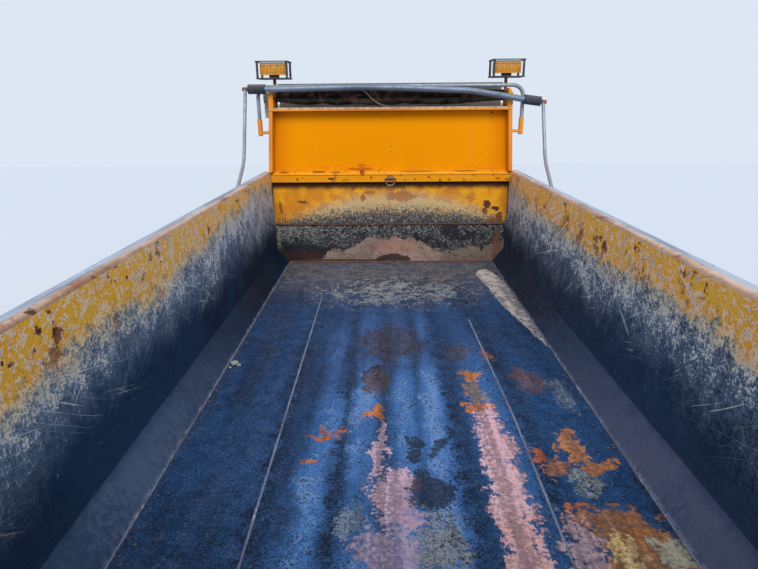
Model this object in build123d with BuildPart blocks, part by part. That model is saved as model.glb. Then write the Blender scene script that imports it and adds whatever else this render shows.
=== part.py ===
from build123d import *
import os
from math import atan2, cos, degrees, hypot, pi, radians, sin, tan

# Steel dump body with a cab shield, a roll-up tarp and a swing-over tarp bow.
# Millimetres. +Y points to the cab, +X to the right-hand side, +Z up.
# The origin is on the ground in the middle of the body's outline.
# Heights that end in _above are measured from the top of the floor plate.
# Places that end in _ahead are measured forward from the front wall's inner face.

# Load space
inside_width = 2134
inside_length = 4572
side_height = 838
wall_lean = 17
corner_width = 104
corner_height = 132
wall_depth = 152
corner_half = inside_width / 2 - wall_lean
floor_half = corner_half - corner_width
outer_half = inside_width / 2 + wall_depth

# Sheet and plate
floor_gauge = 8
side_gauge = 5
front_gauge = 6
fit = 0.3
running_gap = 8

# Underframe
sill_height = 203
sill_width = 76
sill_gauge = 8
sill_centre = 430
cross_height = 102
cross_flange = 44
cross_gauge = 5
cross_pitch = 305
floor_tuck = 19
plate_setback = 5
cross_half = floor_half + floor_tuck
plate_half = cross_half - plate_setback

# Side framing
rail_height = 138
rail_width = 76
rail_bevel = 12
rail_half = inside_width / 2 + rail_width
post_width = 100
post_count = 7
post_setback = 24
post_chamfer = 12
post_foot_half = outer_half - post_setback
rub_lip = 10
rub_top_above = 120
rub_chamfer = 15
framing_reach = 50

# Rear frame
rear_post_depth = 150
rear_post_step = 5
rear_post_rise = 212
rear_beam_depth = 100
lamp_proud = 12
rear_post_inner = inside_width / 2 + rear_post_step
rear_post_above = side_height + rear_post_rise

# Front wall and ledge
seam_above = 363
lap = 8
upper_lean = 44
ledge_height = 88
ledge_slope = 28
ledge_overhang = 65
upper_top_above = side_height - ledge_height
ledge_face_above = side_height - ledge_slope

# Cab shield
riser_ahead = 60
riser_rise = 538
head_overhang = 10
head_lean = 36
head_post_width = 32
head_post_start = -30
head_post_end = 90
canopy_reach = 670
canopy_rise = 50
canopy_lip = 75
canopy_flange = 25
canopy_gauge = 5
riser_top_above = side_height + riser_rise
canopy_top = riser_top_above + canopy_gauge
head_half = inside_width / 2 + head_overhang
head_top_half = head_half - head_lean

# Hoist pin, driven in through holes in the sills
hoist_bore = 25.5
hoist_access = 33
hoist_back = 1250
hoist_drop = 93
hoist_z = sill_height - hoist_drop

floor_top = sill_height + cross_height + floor_gauge
rear_reach = rear_post_depth + lamp_proud
front_inner = (inside_length + rear_reach - canopy_reach) / 2
rear_inner = front_inner - inside_length
under = -floor_gauge - cross_height
framing_front = riser_ahead + framing_reach
hoist_y = front_inner - hoist_back


def ahead(y):
    return front_inner + y


def above(z):
    return floor_top + z


def canopy_above(y):
    # top of the shield's canopy, which rises from the side posts to its lip
    share = max(0, (y - head_post_end) / (canopy_reach - canopy_gauge - head_post_end))
    return canopy_top + canopy_rise * share


def head_x(z):
    # outer half width of the shield, whose sides lean inwards, at a height above the floor
    return head_half - head_lean * (z - side_height) / riser_rise


def behind(y):
    return rear_inner - y


def wall_x(z):
    # half width inside the side wall at a height above the floor
    if z < corner_height:
        return floor_half + (corner_half - floor_half) * z / corner_height
    rise = (z - corner_height) / (side_height - corner_height)
    return corner_half + (inside_width / 2 - corner_half) * rise


corner_slant = hypot(corner_half - floor_half, corner_height) / corner_height


def sheet_x(z):
    # half width outside the side sheet at a height above the floor
    slant = corner_slant if z < corner_height else 1
    return wall_x(z) + side_gauge * slant


def across(y):
    # upright plane across the body, its sketches extrude to the rear
    return Plane.XZ.offset(-y)


def along(x):
    # upright plane along the body, its sketches extrude to the right
    return Plane.YZ.offset(x)


def save_pair(right_piece, name):
    right_piece.label = name + "_right"
    export_step(right_piece, f"parts/{name}_right.step")
    left_piece = mirror(right_piece, about=Plane.YZ)
    left_piece.label = name + "_left"
    export_step(left_piece, f"parts/{name}_left.step")


os.makedirs("parts", exist_ok=True)

# Floor plate
with BuildPart() as floor_plate:
    with BuildSketch(Plane.XY.offset(above(-floor_gauge))):
        with Locations((0, (front_inner + rear_inner) / 2)):
            Rectangle(2 * plate_half, inside_length)
    extrude(amount=floor_gauge)

floor_plate.part.label = "floor_plate"
export_step(floor_plate.part, "parts/floor_plate.step")

# Side sheets, folded once near the floor
sheet_top = side_height - rail_bevel
sheet_front = riser_ahead
with BuildPart() as side_sheet:
    with BuildSketch(across(ahead(sheet_front))):
        with BuildLine():
            Polyline(
                (wall_x(0), above(0)),
                (corner_half, above(corner_height)),
                (wall_x(sheet_top), above(sheet_top)),
                (sheet_x(sheet_top), above(sheet_top)),
                (sheet_x(corner_height), above(corner_height)),
                (sheet_x(0), above(0)),
                close=True,
            )
        make_face()
    extrude(amount=inside_length + sheet_front)

save_pair(side_sheet.part, "side_sheet")

# Top rails, boxed, with a bevel on the load side
rail_foot = side_height - rail_height
with BuildPart() as top_rail:
    with BuildSketch(across(ahead(sheet_front))):
        with BuildLine():
            Polyline(
                (sheet_x(rail_foot) + fit, above(rail_foot)),
                (sheet_x(sheet_top) + fit, above(sheet_top)),
                (wall_x(sheet_top), above(sheet_top)),
                (wall_x(sheet_top) + rail_bevel, above(side_height)),
                (rail_half, above(side_height)),
                (rail_half, above(rail_foot)),
                close=True,
            )
        make_face()
    extrude(amount=inside_length + sheet_front)
    outer_edges = top_rail.edges().filter_by(Axis.Y).group_by(Axis.X)[-1]
    fillet(outer_edges, radius=rail_bevel / 2)

save_pair(top_rail.part, "top_rail")

# Rub rails along the foot of the walls, with a top that sheds dirt
rub_front = ahead(framing_front)
rub_start = cross_half + fit
corner_slope = corner_height / (corner_half - floor_half)
with BuildPart() as rub_rail:
    with BuildSketch(across(rub_front)):
        with BuildLine():
            Polyline(
                (rub_start, above(under)),
                (outer_half, above(under)),
                (outer_half, above(-rub_lip)),
                (sheet_x(rub_top_above) + fit, above(rub_top_above)),
                (rub_start, above(rub_top_above - (sheet_x(rub_top_above) - rub_start) * corner_slope)),
                close=True,
            )
        make_face()
    extrude(amount=rub_front - rear_inner)
    foot_edge = rub_rail.edges().filter_by(Axis.Y).group_by(Axis.X)[-1].sort_by(Axis.Z)[0]
    chamfer(foot_edge, length=rub_chamfer)

save_pair(rub_rail.part, "rub_rail")


def rub_z(x):
    # height of the rub rail's sloping top at a distance from the middle
    share = (outer_half - x) / (outer_half - sheet_x(rub_top_above) - fit)
    return -rub_lip + share * (rub_top_above + rub_lip)


# Side posts, deeper at the foot than under the rail
post_pitch = inside_length / (post_count + 1)
post_centres = [ahead(framing_front - post_width / 2)]
for step in range(1, post_count + 1):
    post_centres.append(front_inner - step * post_pitch)

with BuildPart() as side_posts:
    for centre in post_centres:
        with BuildSketch(across(centre + post_width / 2)):
            with BuildLine():
                Polyline(
                    (sheet_x(rub_top_above) + fit, above(rub_top_above)),
                    (sheet_x(corner_height) + fit, above(corner_height)),
                    (sheet_x(rail_foot) + fit, above(rail_foot)),
                    (rail_half, above(rail_foot)),
                    (post_foot_half, above(rub_z(post_foot_half))),
                    close=True,
                )
            make_face()
        extrude(amount=post_width)
    outer_faces = side_posts.faces().filter_by(lambda face: face.normal_at().X > 0.9)
    outer_edges = ShapeList([edge for face in outer_faces for edge in face.edges()])
    upright = outer_edges.filter_by(lambda edge: abs(edge.tangent_at(0.5).Z) > 0.9)
    chamfer(upright, length=post_chamfer)

save_pair(side_posts.part, "side_posts")

# Long sills, channels that open outwards
sill_rear = rear_inner + rear_beam_depth
sill_front = ahead(framing_front)
sill_inner = sill_centre - sill_width / 2
sill_outer = sill_centre + sill_width / 2
with BuildPart() as sill:
    with BuildSketch(across(sill_front)):
        with BuildLine():
            Polyline(
                (sill_inner, 0),
                (sill_outer, 0),
                (sill_outer, sill_gauge),
                (sill_inner + sill_gauge, sill_gauge),
                (sill_inner + sill_gauge, sill_height - sill_gauge),
                (sill_outer, sill_height - sill_gauge),
                (sill_outer, sill_height),
                (sill_inner, sill_height),
                close=True,
            )
        make_face()
    extrude(amount=sill_front - sill_rear)
    with BuildSketch(along(sill_inner)):
        with Locations((hoist_y, hoist_z)):
            Circle(hoist_access)
    extrude(amount=sill_gauge, mode=Mode.SUBTRACT)

save_pair(sill.part, "sill")

# Cross-members, channels on edge that open to the rear
cross_count = int((inside_length - rear_beam_depth) // cross_pitch)
with BuildPart() as crossmembers:
    for step in range(cross_count):
        web_face = front_inner - step * cross_pitch
        with BuildSketch(along(-cross_half)):
            with BuildLine():
                Polyline(
                    (web_face, sill_height),
                    (web_face, sill_height + cross_height),
                    (web_face - cross_flange, sill_height + cross_height),
                    (web_face - cross_flange, sill_height + cross_height - cross_gauge),
                    (web_face - cross_gauge, sill_height + cross_height - cross_gauge),
                    (web_face - cross_gauge, sill_height + cross_gauge),
                    (web_face - cross_flange, sill_height + cross_gauge),
                    (web_face - cross_flange, sill_height),
                    close=True,
                )
            make_face()
        extrude(amount=2 * cross_half)

crossmembers.part.label = "crossmembers"
export_step(crossmembers.part, "parts/crossmembers.step")

# Front wall: a lower plate, and an upper plate that laps over it and leans forward
with BuildPart() as front_lower:
    with BuildSketch(across(ahead(front_gauge))):
        with BuildLine() as right_edge:
            edge = Polyline(
                (0, above(under)),
                (plate_half, above(under)),
                (plate_half, above(0)),
                (wall_x(0) - fit, above(0)),
                (corner_half - fit, above(corner_height)),
                (wall_x(seam_above) - fit, above(seam_above)),
                (0, above(seam_above)),
            )
            mirror(edge, about=Plane.YZ)
        make_face()
    extrude(amount=front_gauge)

front_lower.part.label = "front_lower_plate"
export_step(front_lower.part, "parts/front_lower_plate.step")

upper_foot_above = seam_above - lap
upper_start = -front_gauge - fit - lap * upper_lean / (upper_top_above - upper_foot_above)
upper_front = upper_start + front_gauge + upper_lean
with BuildPart() as front_upper:
    with BuildSketch(along(-inside_width / 2)):
        with BuildLine():
            Polyline(
                (ahead(upper_start), above(upper_foot_above)),
                (ahead(upper_start + front_gauge), above(upper_foot_above)),
                (ahead(upper_front), above(upper_top_above)),
                (ahead(upper_start + upper_lean), above(upper_top_above)),
                close=True,
            )
        make_face()
    extrude(amount=inside_width)
    # trimmed to the leaning side walls
    with BuildSketch(across(ahead(upper_front))):
        with BuildLine():
            edge = Polyline(
                (0, above(upper_foot_above)),
                (wall_x(upper_foot_above) - fit, above(upper_foot_above)),
                (wall_x(upper_top_above) - fit, above(upper_top_above)),
                (0, above(upper_top_above)),
            )
            mirror(edge, about=Plane.YZ)
        make_face()
    extrude(amount=upper_front - upper_start, mode=Mode.INTERSECT)

front_upper.part.label = "front_upper_plate"
export_step(front_upper.part, "parts/front_upper_plate.step")

# Boxed ledge across the top of the front wall, with a sloping top
ledge_face = upper_lean - ledge_overhang
ledge_half = wall_x(upper_top_above) - fit
with BuildPart() as front_ledge:
    with BuildSketch(along(-ledge_half)):
        with BuildLine():
            Polyline(
                (ahead(ledge_face), above(upper_top_above)),
                (ahead(ledge_face), above(ledge_face_above)),
                (ahead(riser_ahead), above(side_height)),
                (ahead(riser_ahead), above(upper_top_above)),
                close=True,
            )
        make_face()
    extrude(amount=2 * ledge_half)

front_ledge.part.label = "front_ledge"
export_step(front_ledge.part, "parts/front_ledge.step")

# Stiffeners on the cab side of the front wall
stiffener_pitch = 520
stiffener_width = 90
stiffener_drop = 120
stiffener_slope = 80
stiffener_back = riser_ahead + front_gauge + fit
with BuildPart() as front_stiffeners:
    for place in (-1.5, -0.5, 0.5, 1.5):
        with BuildSketch(along(place * stiffener_pitch - stiffener_width / 2)):
            with BuildLine():
                Polyline(
                    (ahead(front_gauge + fit), above(under)),
                    (ahead(front_gauge + fit), above(seam_above)),
                    (ahead(upper_lean + fit), above(upper_top_above)),
                    (ahead(stiffener_back), above(upper_top_above)),
                    (ahead(stiffener_back), above(riser_top_above - stiffener_drop)),
                    (ahead(framing_front), above(riser_top_above - stiffener_drop - stiffener_slope)),
                    (ahead(framing_front), above(under)),
                    close=True,
                )
            make_face()
        extrude(amount=stiffener_width)

front_stiffeners.part.label = "front_stiffeners"
export_step(front_stiffeners.part, "parts/front_stiffeners.step")

# Cab shield riser, the tall panel above the ledge
riser_foot_half = head_x(upper_top_above) - head_post_width - fit
riser_top_half = head_top_half - head_post_width - fit
with BuildPart() as shield_riser:
    with BuildSketch(across(ahead(riser_ahead + front_gauge))):
        with BuildLine():
            Polyline(
                (-riser_foot_half, above(upper_top_above)),
                (riser_foot_half, above(upper_top_above)),
                (riser_top_half, above(riser_top_above)),
                (-riser_top_half, above(riser_top_above)),
                close=True,
            )
        make_face()
    extrude(amount=front_gauge - fit)

shield_riser.part.label = "shield_riser"
export_step(shield_riser.part, "parts/shield_riser.step")

# Cab shield side posts, which lean inwards, with their gusset plates
head_post_depth = head_post_end - head_post_start
head_foot_above = side_height + fit
gusset_rise = 62
gusset_foot_above = side_height + gusset_rise
gusset_gauge = 6
gusset_reach = canopy_reach - canopy_gauge - fit
with BuildPart() as shield_side:
    with BuildSketch(across(ahead(head_post_end))):
        with BuildLine():
            Polyline(
                (head_x(head_foot_above) - head_post_width, above(head_foot_above)),
                (head_x(head_foot_above), above(head_foot_above)),
                (head_top_half, above(riser_top_above)),
                (head_top_half - head_post_width, above(riser_top_above)),
                close=True,
            )
        make_face()
    extrude(amount=head_post_depth)
    with BuildSketch(along(head_top_half - gusset_gauge)):
        with BuildLine():
            Polyline(
                (ahead(head_post_end), above(gusset_foot_above)),
                (ahead(head_post_end), above(riser_top_above)),
                (ahead(gusset_reach), above(riser_top_above + canopy_rise)),
                (ahead(gusset_reach), above(riser_top_above + canopy_rise - canopy_lip)),
                close=True,
            )
        make_face()
    extrude(amount=gusset_gauge)

save_pair(shield_side.part, "shield_side")

# Cab shield canopy, a plate with a flange over the load and a lip at the front
canopy_rear = head_post_start - canopy_gauge - fit
with BuildPart() as shield_canopy:
    with BuildSketch(along(-head_top_half)):
        with BuildLine():
            Polyline(
                (ahead(canopy_rear), above(canopy_top - canopy_flange)),
                (ahead(canopy_rear + canopy_gauge), above(canopy_top - canopy_flange)),
                (ahead(canopy_rear + canopy_gauge), above(riser_top_above + fit)),
                (ahead(head_post_end), above(riser_top_above + fit)),
                (ahead(canopy_reach - canopy_gauge), above(riser_top_above + canopy_rise + fit)),
                (ahead(canopy_reach - canopy_gauge), above(riser_top_above + canopy_rise - canopy_lip)),
                (ahead(canopy_reach), above(riser_top_above + canopy_rise - canopy_lip)),
                (ahead(canopy_reach), above(canopy_top + canopy_rise)),
                (ahead(head_post_end), above(canopy_top)),
                (ahead(canopy_rear), above(canopy_top)),
                close=True,
            )
        make_face()
    extrude(amount=2 * head_top_half)

shield_canopy.part.label = "shield_canopy"
export_step(shield_canopy.part, "parts/shield_canopy.step")

# Rear corner posts with a sloping cap
with BuildPart() as rear_post:
    with BuildSketch(across(rear_inner)):
        with BuildLine():
            Polyline(
                (rear_post_inner, above(under)),
                (rear_post_inner, above(rear_post_above)),
                (rail_half, above(rear_post_above)),
                (outer_half, above(side_height)),
                (outer_half, above(under)),
                close=True,
            )
        make_face()
    extrude(amount=rear_post_depth)
    rear_edges = rear_post.edges().group_by(Axis.Y)[0]
    chamfer(rear_edges.filter_by(Axis.Z), length=post_chamfer)

save_pair(rear_post.part, "rear_post")

# Rear beam under the end of the floor
beam_wall = 8
with BuildPart() as rear_beam:
    with BuildSketch(along(-cross_half)):
        with Locations((rear_inner + rear_beam_depth / 2, sill_height + cross_height / 2)):
            Rectangle(rear_beam_depth, cross_height)
            Rectangle(rear_beam_depth - 2 * beam_wall, cross_height - 2 * beam_wall, mode=Mode.SUBTRACT)
    extrude(amount=2 * cross_half)

rear_beam.part.label = "rear_beam"
export_step(rear_beam.part, "parts/rear_beam.step")

# Tail lamps on the rear corner posts
tail_lamp_radius = 48
tail_lamp_heights = [120, 260, 400]
tail_lamp_x = (rear_post_inner + outer_half) / 2
tail_lamp_chamfer = 4
with BuildPart() as tail_lamps:
    with BuildSketch(across(behind(rear_post_depth + fit))):
        for height in tail_lamp_heights:
            with Locations((tail_lamp_x, above(height)), (-tail_lamp_x, above(height))):
                Circle(tail_lamp_radius)
    extrude(amount=lamp_proud - fit)
    rear_faces = tail_lamps.faces().filter_by(Axis.Y).group_by(Axis.Y)[0]
    chamfer(rear_faces.edges(), length=tail_lamp_chamfer)

tail_lamps.part.label = "tail_lamps"
export_step(tail_lamps.part, "parts/tail_lamps.step")

# Tailgate: panel, rails, ribs, hinge ears and latch pins
gate_half = rear_post_inner - running_gap
gate_foot_above = -40
gate_rise = 102
gate_tube = 76
gate_chamfer = 10
gate_pin_drop = 40
gate_pin_radius = 16
gate_rib_count = 5
gate_top_above = side_height + gate_rise
gate_frame_start = running_gap + front_gauge
gate_pin_above = rear_post_above - gate_pin_drop
gate_pin_behind = gate_frame_start + gate_tube / 2
gate_mid = (gate_foot_above + gate_top_above) / 2
gate_height = gate_top_above - gate_foot_above

with BuildPart() as tailgate_panel:
    with BuildSketch(across(behind(running_gap))):
        with Locations((0, above(gate_mid))):
            Rectangle(2 * gate_half, gate_height)
    extrude(amount=front_gauge)

tailgate_panel.part.label = "tailgate_panel"
export_step(tailgate_panel.part, "parts/tailgate_panel.step")

# Three rails run right across, and short ribs stand between them
rail_pitch = (gate_height - gate_tube) / 2
rib_pitch = (2 * gate_half - gate_tube) / (gate_rib_count - 1)
with BuildPart() as tailgate_rails:
    with BuildSketch(across(behind(gate_frame_start))):
        with Locations((0, above(gate_mid))):
            with GridLocations(0, rail_pitch, 1, 3):
                Rectangle(2 * gate_half, gate_tube)
    extrude(amount=gate_tube)
    rear_faces = tailgate_rails.faces().filter_by(Axis.Y).group_by(Axis.Y)[0]
    chamfer(rear_faces.edges(), length=gate_chamfer)

tailgate_rails.part.label = "tailgate_rails"
export_step(tailgate_rails.part, "parts/tailgate_rails.step")

with BuildPart() as tailgate_ribs:
    with BuildSketch(across(behind(gate_frame_start))):
        with Locations((0, above(gate_mid))):
            with GridLocations(rib_pitch, rail_pitch, gate_rib_count, 2):
                Rectangle(gate_tube, rail_pitch - gate_tube)
    extrude(amount=gate_tube)
    rear_faces = tailgate_ribs.faces().filter_by(Axis.Y).group_by(Axis.Y)[0]
    chamfer(rear_faces.edges().filter_by(Axis.Z), length=gate_chamfer)

tailgate_ribs.part.label = "tailgate_ribs"
export_step(tailgate_ribs.part, "parts/tailgate_ribs.step")

ear_gauge = 30
ear_setback = 24
ear_radius = 34
ear_x = gate_half - ear_setback - ear_gauge
with BuildPart() as tailgate_ears:
    with BuildSketch(along(ear_x)):
        with Locations((behind(gate_pin_behind), above((gate_pin_above + gate_top_above) / 2))):
            Rectangle(2 * ear_radius, gate_pin_above - gate_top_above)
        with Locations((behind(gate_pin_behind), above(gate_pin_above))):
            Circle(ear_radius)
            Circle(gate_pin_radius + fit, mode=Mode.SUBTRACT)
    extrude(amount=ear_gauge)
    mirror(about=Plane.YZ)

tailgate_ears.part.label = "tailgate_ears"
export_step(tailgate_ears.part, "parts/tailgate_ears.step")

collar_gauge = 8
collar_lip = 8
pin_overhang = 6
with BuildPart() as hinge_pins:
    with BuildSketch(along(ear_x - pin_overhang)):
        with Locations((behind(gate_pin_behind), above(gate_pin_above))):
            Circle(gate_pin_radius)
    extrude(amount=rear_post_inner - ear_x + pin_overhang)
    with BuildSketch(along(ear_x - pin_overhang - collar_gauge)):
        with Locations((behind(gate_pin_behind), above(gate_pin_above))):
            Circle(gate_pin_radius + collar_lip)
    extrude(amount=collar_gauge)
    mirror(about=Plane.YZ)

hinge_pins.part.label = "tailgate_hinge_pins"
export_step(hinge_pins.part, "parts/tailgate_hinge_pins.step")

# Latch pins on lugs below the tailgate, held by hooks on a shaft under the rear beam
latch_x = 700
latch_pin_above = -115
latch_pin_radius = 12
lug_gauge = 14
lug_width = 48
lug_half_gap = 22
with BuildPart() as latch_pins:
    for side in (-1, 1):
        for start in (-lug_half_gap - lug_gauge, lug_half_gap):
            with BuildSketch(along(side * latch_x + start)):
                with Locations((behind(gate_pin_behind), above((gate_foot_above + latch_pin_above) / 2))):
                    Rectangle(lug_width, gate_foot_above - latch_pin_above)
                with Locations((behind(gate_pin_behind), above(latch_pin_above))):
                    Circle(lug_width / 2)
            extrude(amount=lug_gauge)
        with BuildSketch(along(side * latch_x - lug_half_gap)):
            with Locations((behind(gate_pin_behind), above(latch_pin_above))):
                Circle(latch_pin_radius)
        extrude(amount=2 * lug_half_gap)

latch_pins.part.label = "tailgate_latch_pins"
export_step(latch_pins.part, "parts/tailgate_latch_pins.step")

shaft_set_in = 45
shaft_drop = 88
shaft_setback = 35
shaft_radius = 20
shaft_y = rear_inner + shaft_set_in
shaft_z = sill_height - shaft_drop
shaft_half = cross_half - shaft_setback
pin_dy = behind(gate_pin_behind) - shaft_y
pin_dz = above(latch_pin_above) - shaft_z
pin_reach = hypot(pin_dy, pin_dz)
pin_angle = degrees(atan2(pin_dz, pin_dy))
hook_gauge = 20
hook_slot = 20
hook_rim = 22
hook_arm = 32
hook_hub = 36
hook_wrap = 16
hook_play = 5
arm_angle = pin_angle + degrees((hook_arm / 2 + hook_slot + hook_play) / pin_reach)
release_angle = 45
rim_middle = pin_reach + hook_slot + hook_rim / 2
with BuildPart() as latch_hooks:
    for side in (-1, 1):
        hook_plane = Plane(
            origin=(side * latch_x - hook_gauge / 2, shaft_y, shaft_z),
            x_dir=(0, cos(radians(release_angle)), sin(radians(release_angle))),
            z_dir=(1, 0, 0),
        )
        with BuildSketch(hook_plane):
            Circle(hook_hub)
            with PolarLocations(rim_middle / 2, 1, start_angle=arm_angle):
                Rectangle(rim_middle + hook_rim, hook_arm)
            with BuildLine():
                tip_angle = pin_angle - hook_wrap
                tip_in = rim_middle - hook_rim / 2
                tip_out = rim_middle + hook_rim / 2
                inner_arc = CenterArc((0, 0), tip_in, tip_angle, arm_angle - tip_angle)
                outer_arc = CenterArc((0, 0), tip_out, tip_angle, arm_angle - tip_angle)
                Line(inner_arc @ 0, outer_arc @ 0)
                Line(inner_arc @ 1, outer_arc @ 1)
            make_face()
            Circle(shaft_radius, mode=Mode.SUBTRACT)
        extrude(amount=hook_gauge)

latch_hooks.part.label = "latch_hooks"
export_step(latch_hooks.part, "parts/latch_hooks.step")

# The shaft and the lever that an air cylinder pulls on
lever_gauge = 30
lever_reach = 85
lever_drop = 50
lever_tip = 30
lever_set_in = 2
lever_root = shaft_radius - lever_set_in
with BuildPart() as latch_shaft:
    with BuildSketch(along(-shaft_half)):
        with Locations((shaft_y, shaft_z)):
            Circle(shaft_radius)
    extrude(amount=2 * shaft_half)
    with BuildSketch(along(-lever_gauge / 2)):
        with BuildLine():
            Polyline(
                (shaft_y, shaft_z + lever_root),
                (shaft_y, shaft_z - lever_root),
                (shaft_y + lever_reach, shaft_z - lever_drop),
                (shaft_y + lever_reach, shaft_z - lever_drop + lever_tip),
                close=True,
            )
        make_face()
    extrude(amount=lever_gauge)

latch_shaft.part.label = "latch_shaft"
export_step(latch_shaft.part, "parts/latch_shaft.step")

# Hangers that carry the latch shaft
hanger_gauge = 15
hanger_width = 80
hanger_spread = 160
with BuildPart() as latch_hangers:
    for middle in (latch_x - hanger_spread, latch_x + hanger_spread):
        with BuildSketch(along(middle - hanger_gauge / 2)):
            with Locations((shaft_y, (shaft_z + sill_height) / 2)):
                Rectangle(hanger_width, sill_height - shaft_z)
            with Locations((shaft_y, shaft_z)):
                Circle(hanger_width / 2)
                Circle(shaft_radius + fit, mode=Mode.SUBTRACT)
        extrude(amount=hanger_gauge)
    mirror(about=Plane.YZ)

latch_hangers.part.label = "latch_hangers"
export_step(latch_hangers.part, "parts/latch_hangers.step")

# Hinge lugs that the body tips on, outside the long sills
hinge_bore = 25.5
hinge_set_in = 130
hinge_drop = 108
hinge_gauge = 38
hinge_foot = 90
hinge_waist = 50
hinge_boss = 55
hinge_y = sill_rear + hinge_set_in
hinge_z = sill_height - hinge_drop
with BuildPart() as tip_hinges:
    with BuildSketch(along(sill_outer + fit)):
        with BuildLine():
            Polyline(
                (hinge_y - hinge_foot, sill_height - fit),
                (hinge_y + hinge_foot, sill_height - fit),
                (hinge_y + hinge_waist, hinge_z),
                (hinge_y - hinge_waist, hinge_z),
                close=True,
            )
        make_face()
        with Locations((hinge_y, hinge_z)):
            Circle(hinge_boss)
            Circle(hinge_bore, mode=Mode.SUBTRACT)
    extrude(amount=hinge_gauge)
    mirror(about=Plane.YZ)

tip_hinges.part.label = "tip_hinges"
export_step(tip_hinges.part, "parts/tip_hinges.step")

# Hoist lugs between the sills, long enough to hang from two cross-members
hoist_inner = 70
hoist_gauge = 25
hoist_overlap = 30
hoist_boss = 60
hoist_waist = 50
hoist_length = cross_pitch + cross_flange + 2 * hoist_overlap
with BuildPart() as hoist_lugs:
    with BuildSketch(along(hoist_inner)):
        with BuildLine():
            Polyline(
                (hoist_y - hoist_length / 2, sill_height - fit),
                (hoist_y + hoist_length / 2, sill_height - fit),
                (hoist_y + hoist_waist, hoist_z),
                (hoist_y - hoist_waist, hoist_z),
                close=True,
            )
        make_face()
        with Locations((hoist_y, hoist_z)):
            Circle(hoist_boss)
            Circle(hoist_bore, mode=Mode.SUBTRACT)
    extrude(amount=hoist_gauge)
    mirror(about=Plane.YZ)

hoist_lugs.part.label = "hoist_lugs"
export_step(hoist_lugs.part, "parts/hoist_lugs.step")

# Tarp roll on its tube, between plates on top of the shield's side posts
roll_ahead = 60
roll_lift = 93
roll_radius = 78
roll_end_radius = 42
roll_taper = 300
tube_radius = 24
stub_radius = 12
stub_setback = 20
plate_gauge = 8
plate_inset = 41
plate_rise = 149
plate_x = head_top_half - plate_inset
roll_gap = 15
roll_half = plate_x - roll_gap
roll_above = canopy_top + roll_lift
stub_half = head_top_half - stub_setback
plate_top_above = canopy_top + plate_rise
with BuildPart() as roller_tube:
    with BuildSketch(along(-roll_half)):
        with Locations((ahead(roll_ahead), above(roll_above))):
            Circle(tube_radius)
    extrude(amount=2 * roll_half)
    with BuildSketch(along(-stub_half)):
        with Locations((ahead(roll_ahead), above(roll_above))):
            Circle(stub_radius)
    extrude(amount=2 * stub_half)

roller_tube.part.label = "roller_tube"
export_step(roller_tube.part, "parts/roller_tube.step")

# The rolled tarp, slimmer at both ends
roll_y = ahead(roll_ahead)
cloth_inner = tube_radius + fit
cloth_gap = 3
cloth_half = roll_half - cloth_gap
full_half = roll_half - roll_taper
with BuildPart() as tarp_roll:
    with BuildSketch(Plane.XY.offset(above(roll_above))):
        with BuildLine():
            Polyline(
                (-cloth_half, roll_y + cloth_inner),
                (cloth_half, roll_y + cloth_inner),
                (cloth_half, roll_y + roll_end_radius),
                (full_half, roll_y + roll_radius),
                (-full_half, roll_y + roll_radius),
                (-cloth_half, roll_y + roll_end_radius),
                close=True,
            )
        make_face()
    revolve(axis=Axis((0, roll_y, above(roll_above)), (1, 0, 0)))

tarp_roll.part.label = "tarp_roll"
export_step(tarp_roll.part, "parts/tarp_roll.step")

# Roller bearing plates, wide towards the load and stiffened by a cheek
plate_corner = 20
cheek_shoulder = 40
cheek_taper = 30
plate_foot = above(canopy_top + fit)
plate_top = above(plate_top_above)
with BuildPart() as roller_bracket:
    with BuildSketch(along(plate_x)):
        with BuildLine():
            Polyline(
                (ahead(head_post_start), plate_foot),
                (ahead(head_post_end), plate_foot),
                (ahead(head_post_end), plate_top - plate_corner),
                (ahead(head_post_end - plate_corner), plate_top),
                (ahead(head_post_start + plate_corner), plate_top),
                (ahead(head_post_start), plate_top - plate_corner),
                close=True,
            )
        make_face()
        with Locations((ahead(roll_ahead), above(roll_above))):
            Circle(stub_radius + fit, mode=Mode.SUBTRACT)
    extrude(amount=plate_gauge)
    with BuildSketch(across(ahead(head_post_start + plate_gauge))):
        with BuildLine():
            Polyline(
                (plate_x + plate_gauge, plate_foot),
                (head_top_half, plate_foot),
                (head_top_half, plate_top - cheek_shoulder),
                (head_top_half - cheek_taper, plate_top),
                (plate_x + plate_gauge, plate_top),
                close=True,
            )
        make_face()
    extrude(amount=plate_gauge)

save_pair(roller_bracket.part, "roller_bracket")

# Tarp housing, a sheet with a foot flange and a hood that leans over the roll
housing_gauge = 3
housing_gap = 20
housing_half = plate_x - housing_gap
housing_reach = 118
housing_foot_reach = 20
housing_rise = 50
hood_rise = 57
hood_depth = 45
housing_back = roll_ahead + housing_reach
housing_front = housing_back - housing_gauge
foot_back = canopy_above(housing_back) + fit
hood_step = 1
shoulder_above = roll_above + housing_rise
with BuildPart() as tarp_housing:
    with BuildSketch(along(-housing_half)):
        with BuildLine():
            Polyline(
                (ahead(roll_ahead - housing_foot_reach), above(canopy_top + fit)),
                (ahead(roll_ahead - housing_foot_reach), above(canopy_top + fit + housing_gauge)),
                (ahead(housing_front), above(foot_back + housing_gauge)),
                (ahead(housing_front), above(shoulder_above)),
                (ahead(housing_front - hood_depth), above(shoulder_above + hood_rise)),
                (ahead(housing_back - hood_depth), above(shoulder_above + hood_rise)),
                (ahead(housing_back), above(shoulder_above + hood_step)),
                (ahead(housing_back), above(foot_back)),
                (ahead(head_post_end), above(canopy_top + fit)),
                close=True,
            )
        make_face()
    extrude(amount=2 * housing_half)

tarp_housing.part.label = "tarp_housing"
export_step(tarp_housing.part, "parts/tarp_housing.step")

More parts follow.
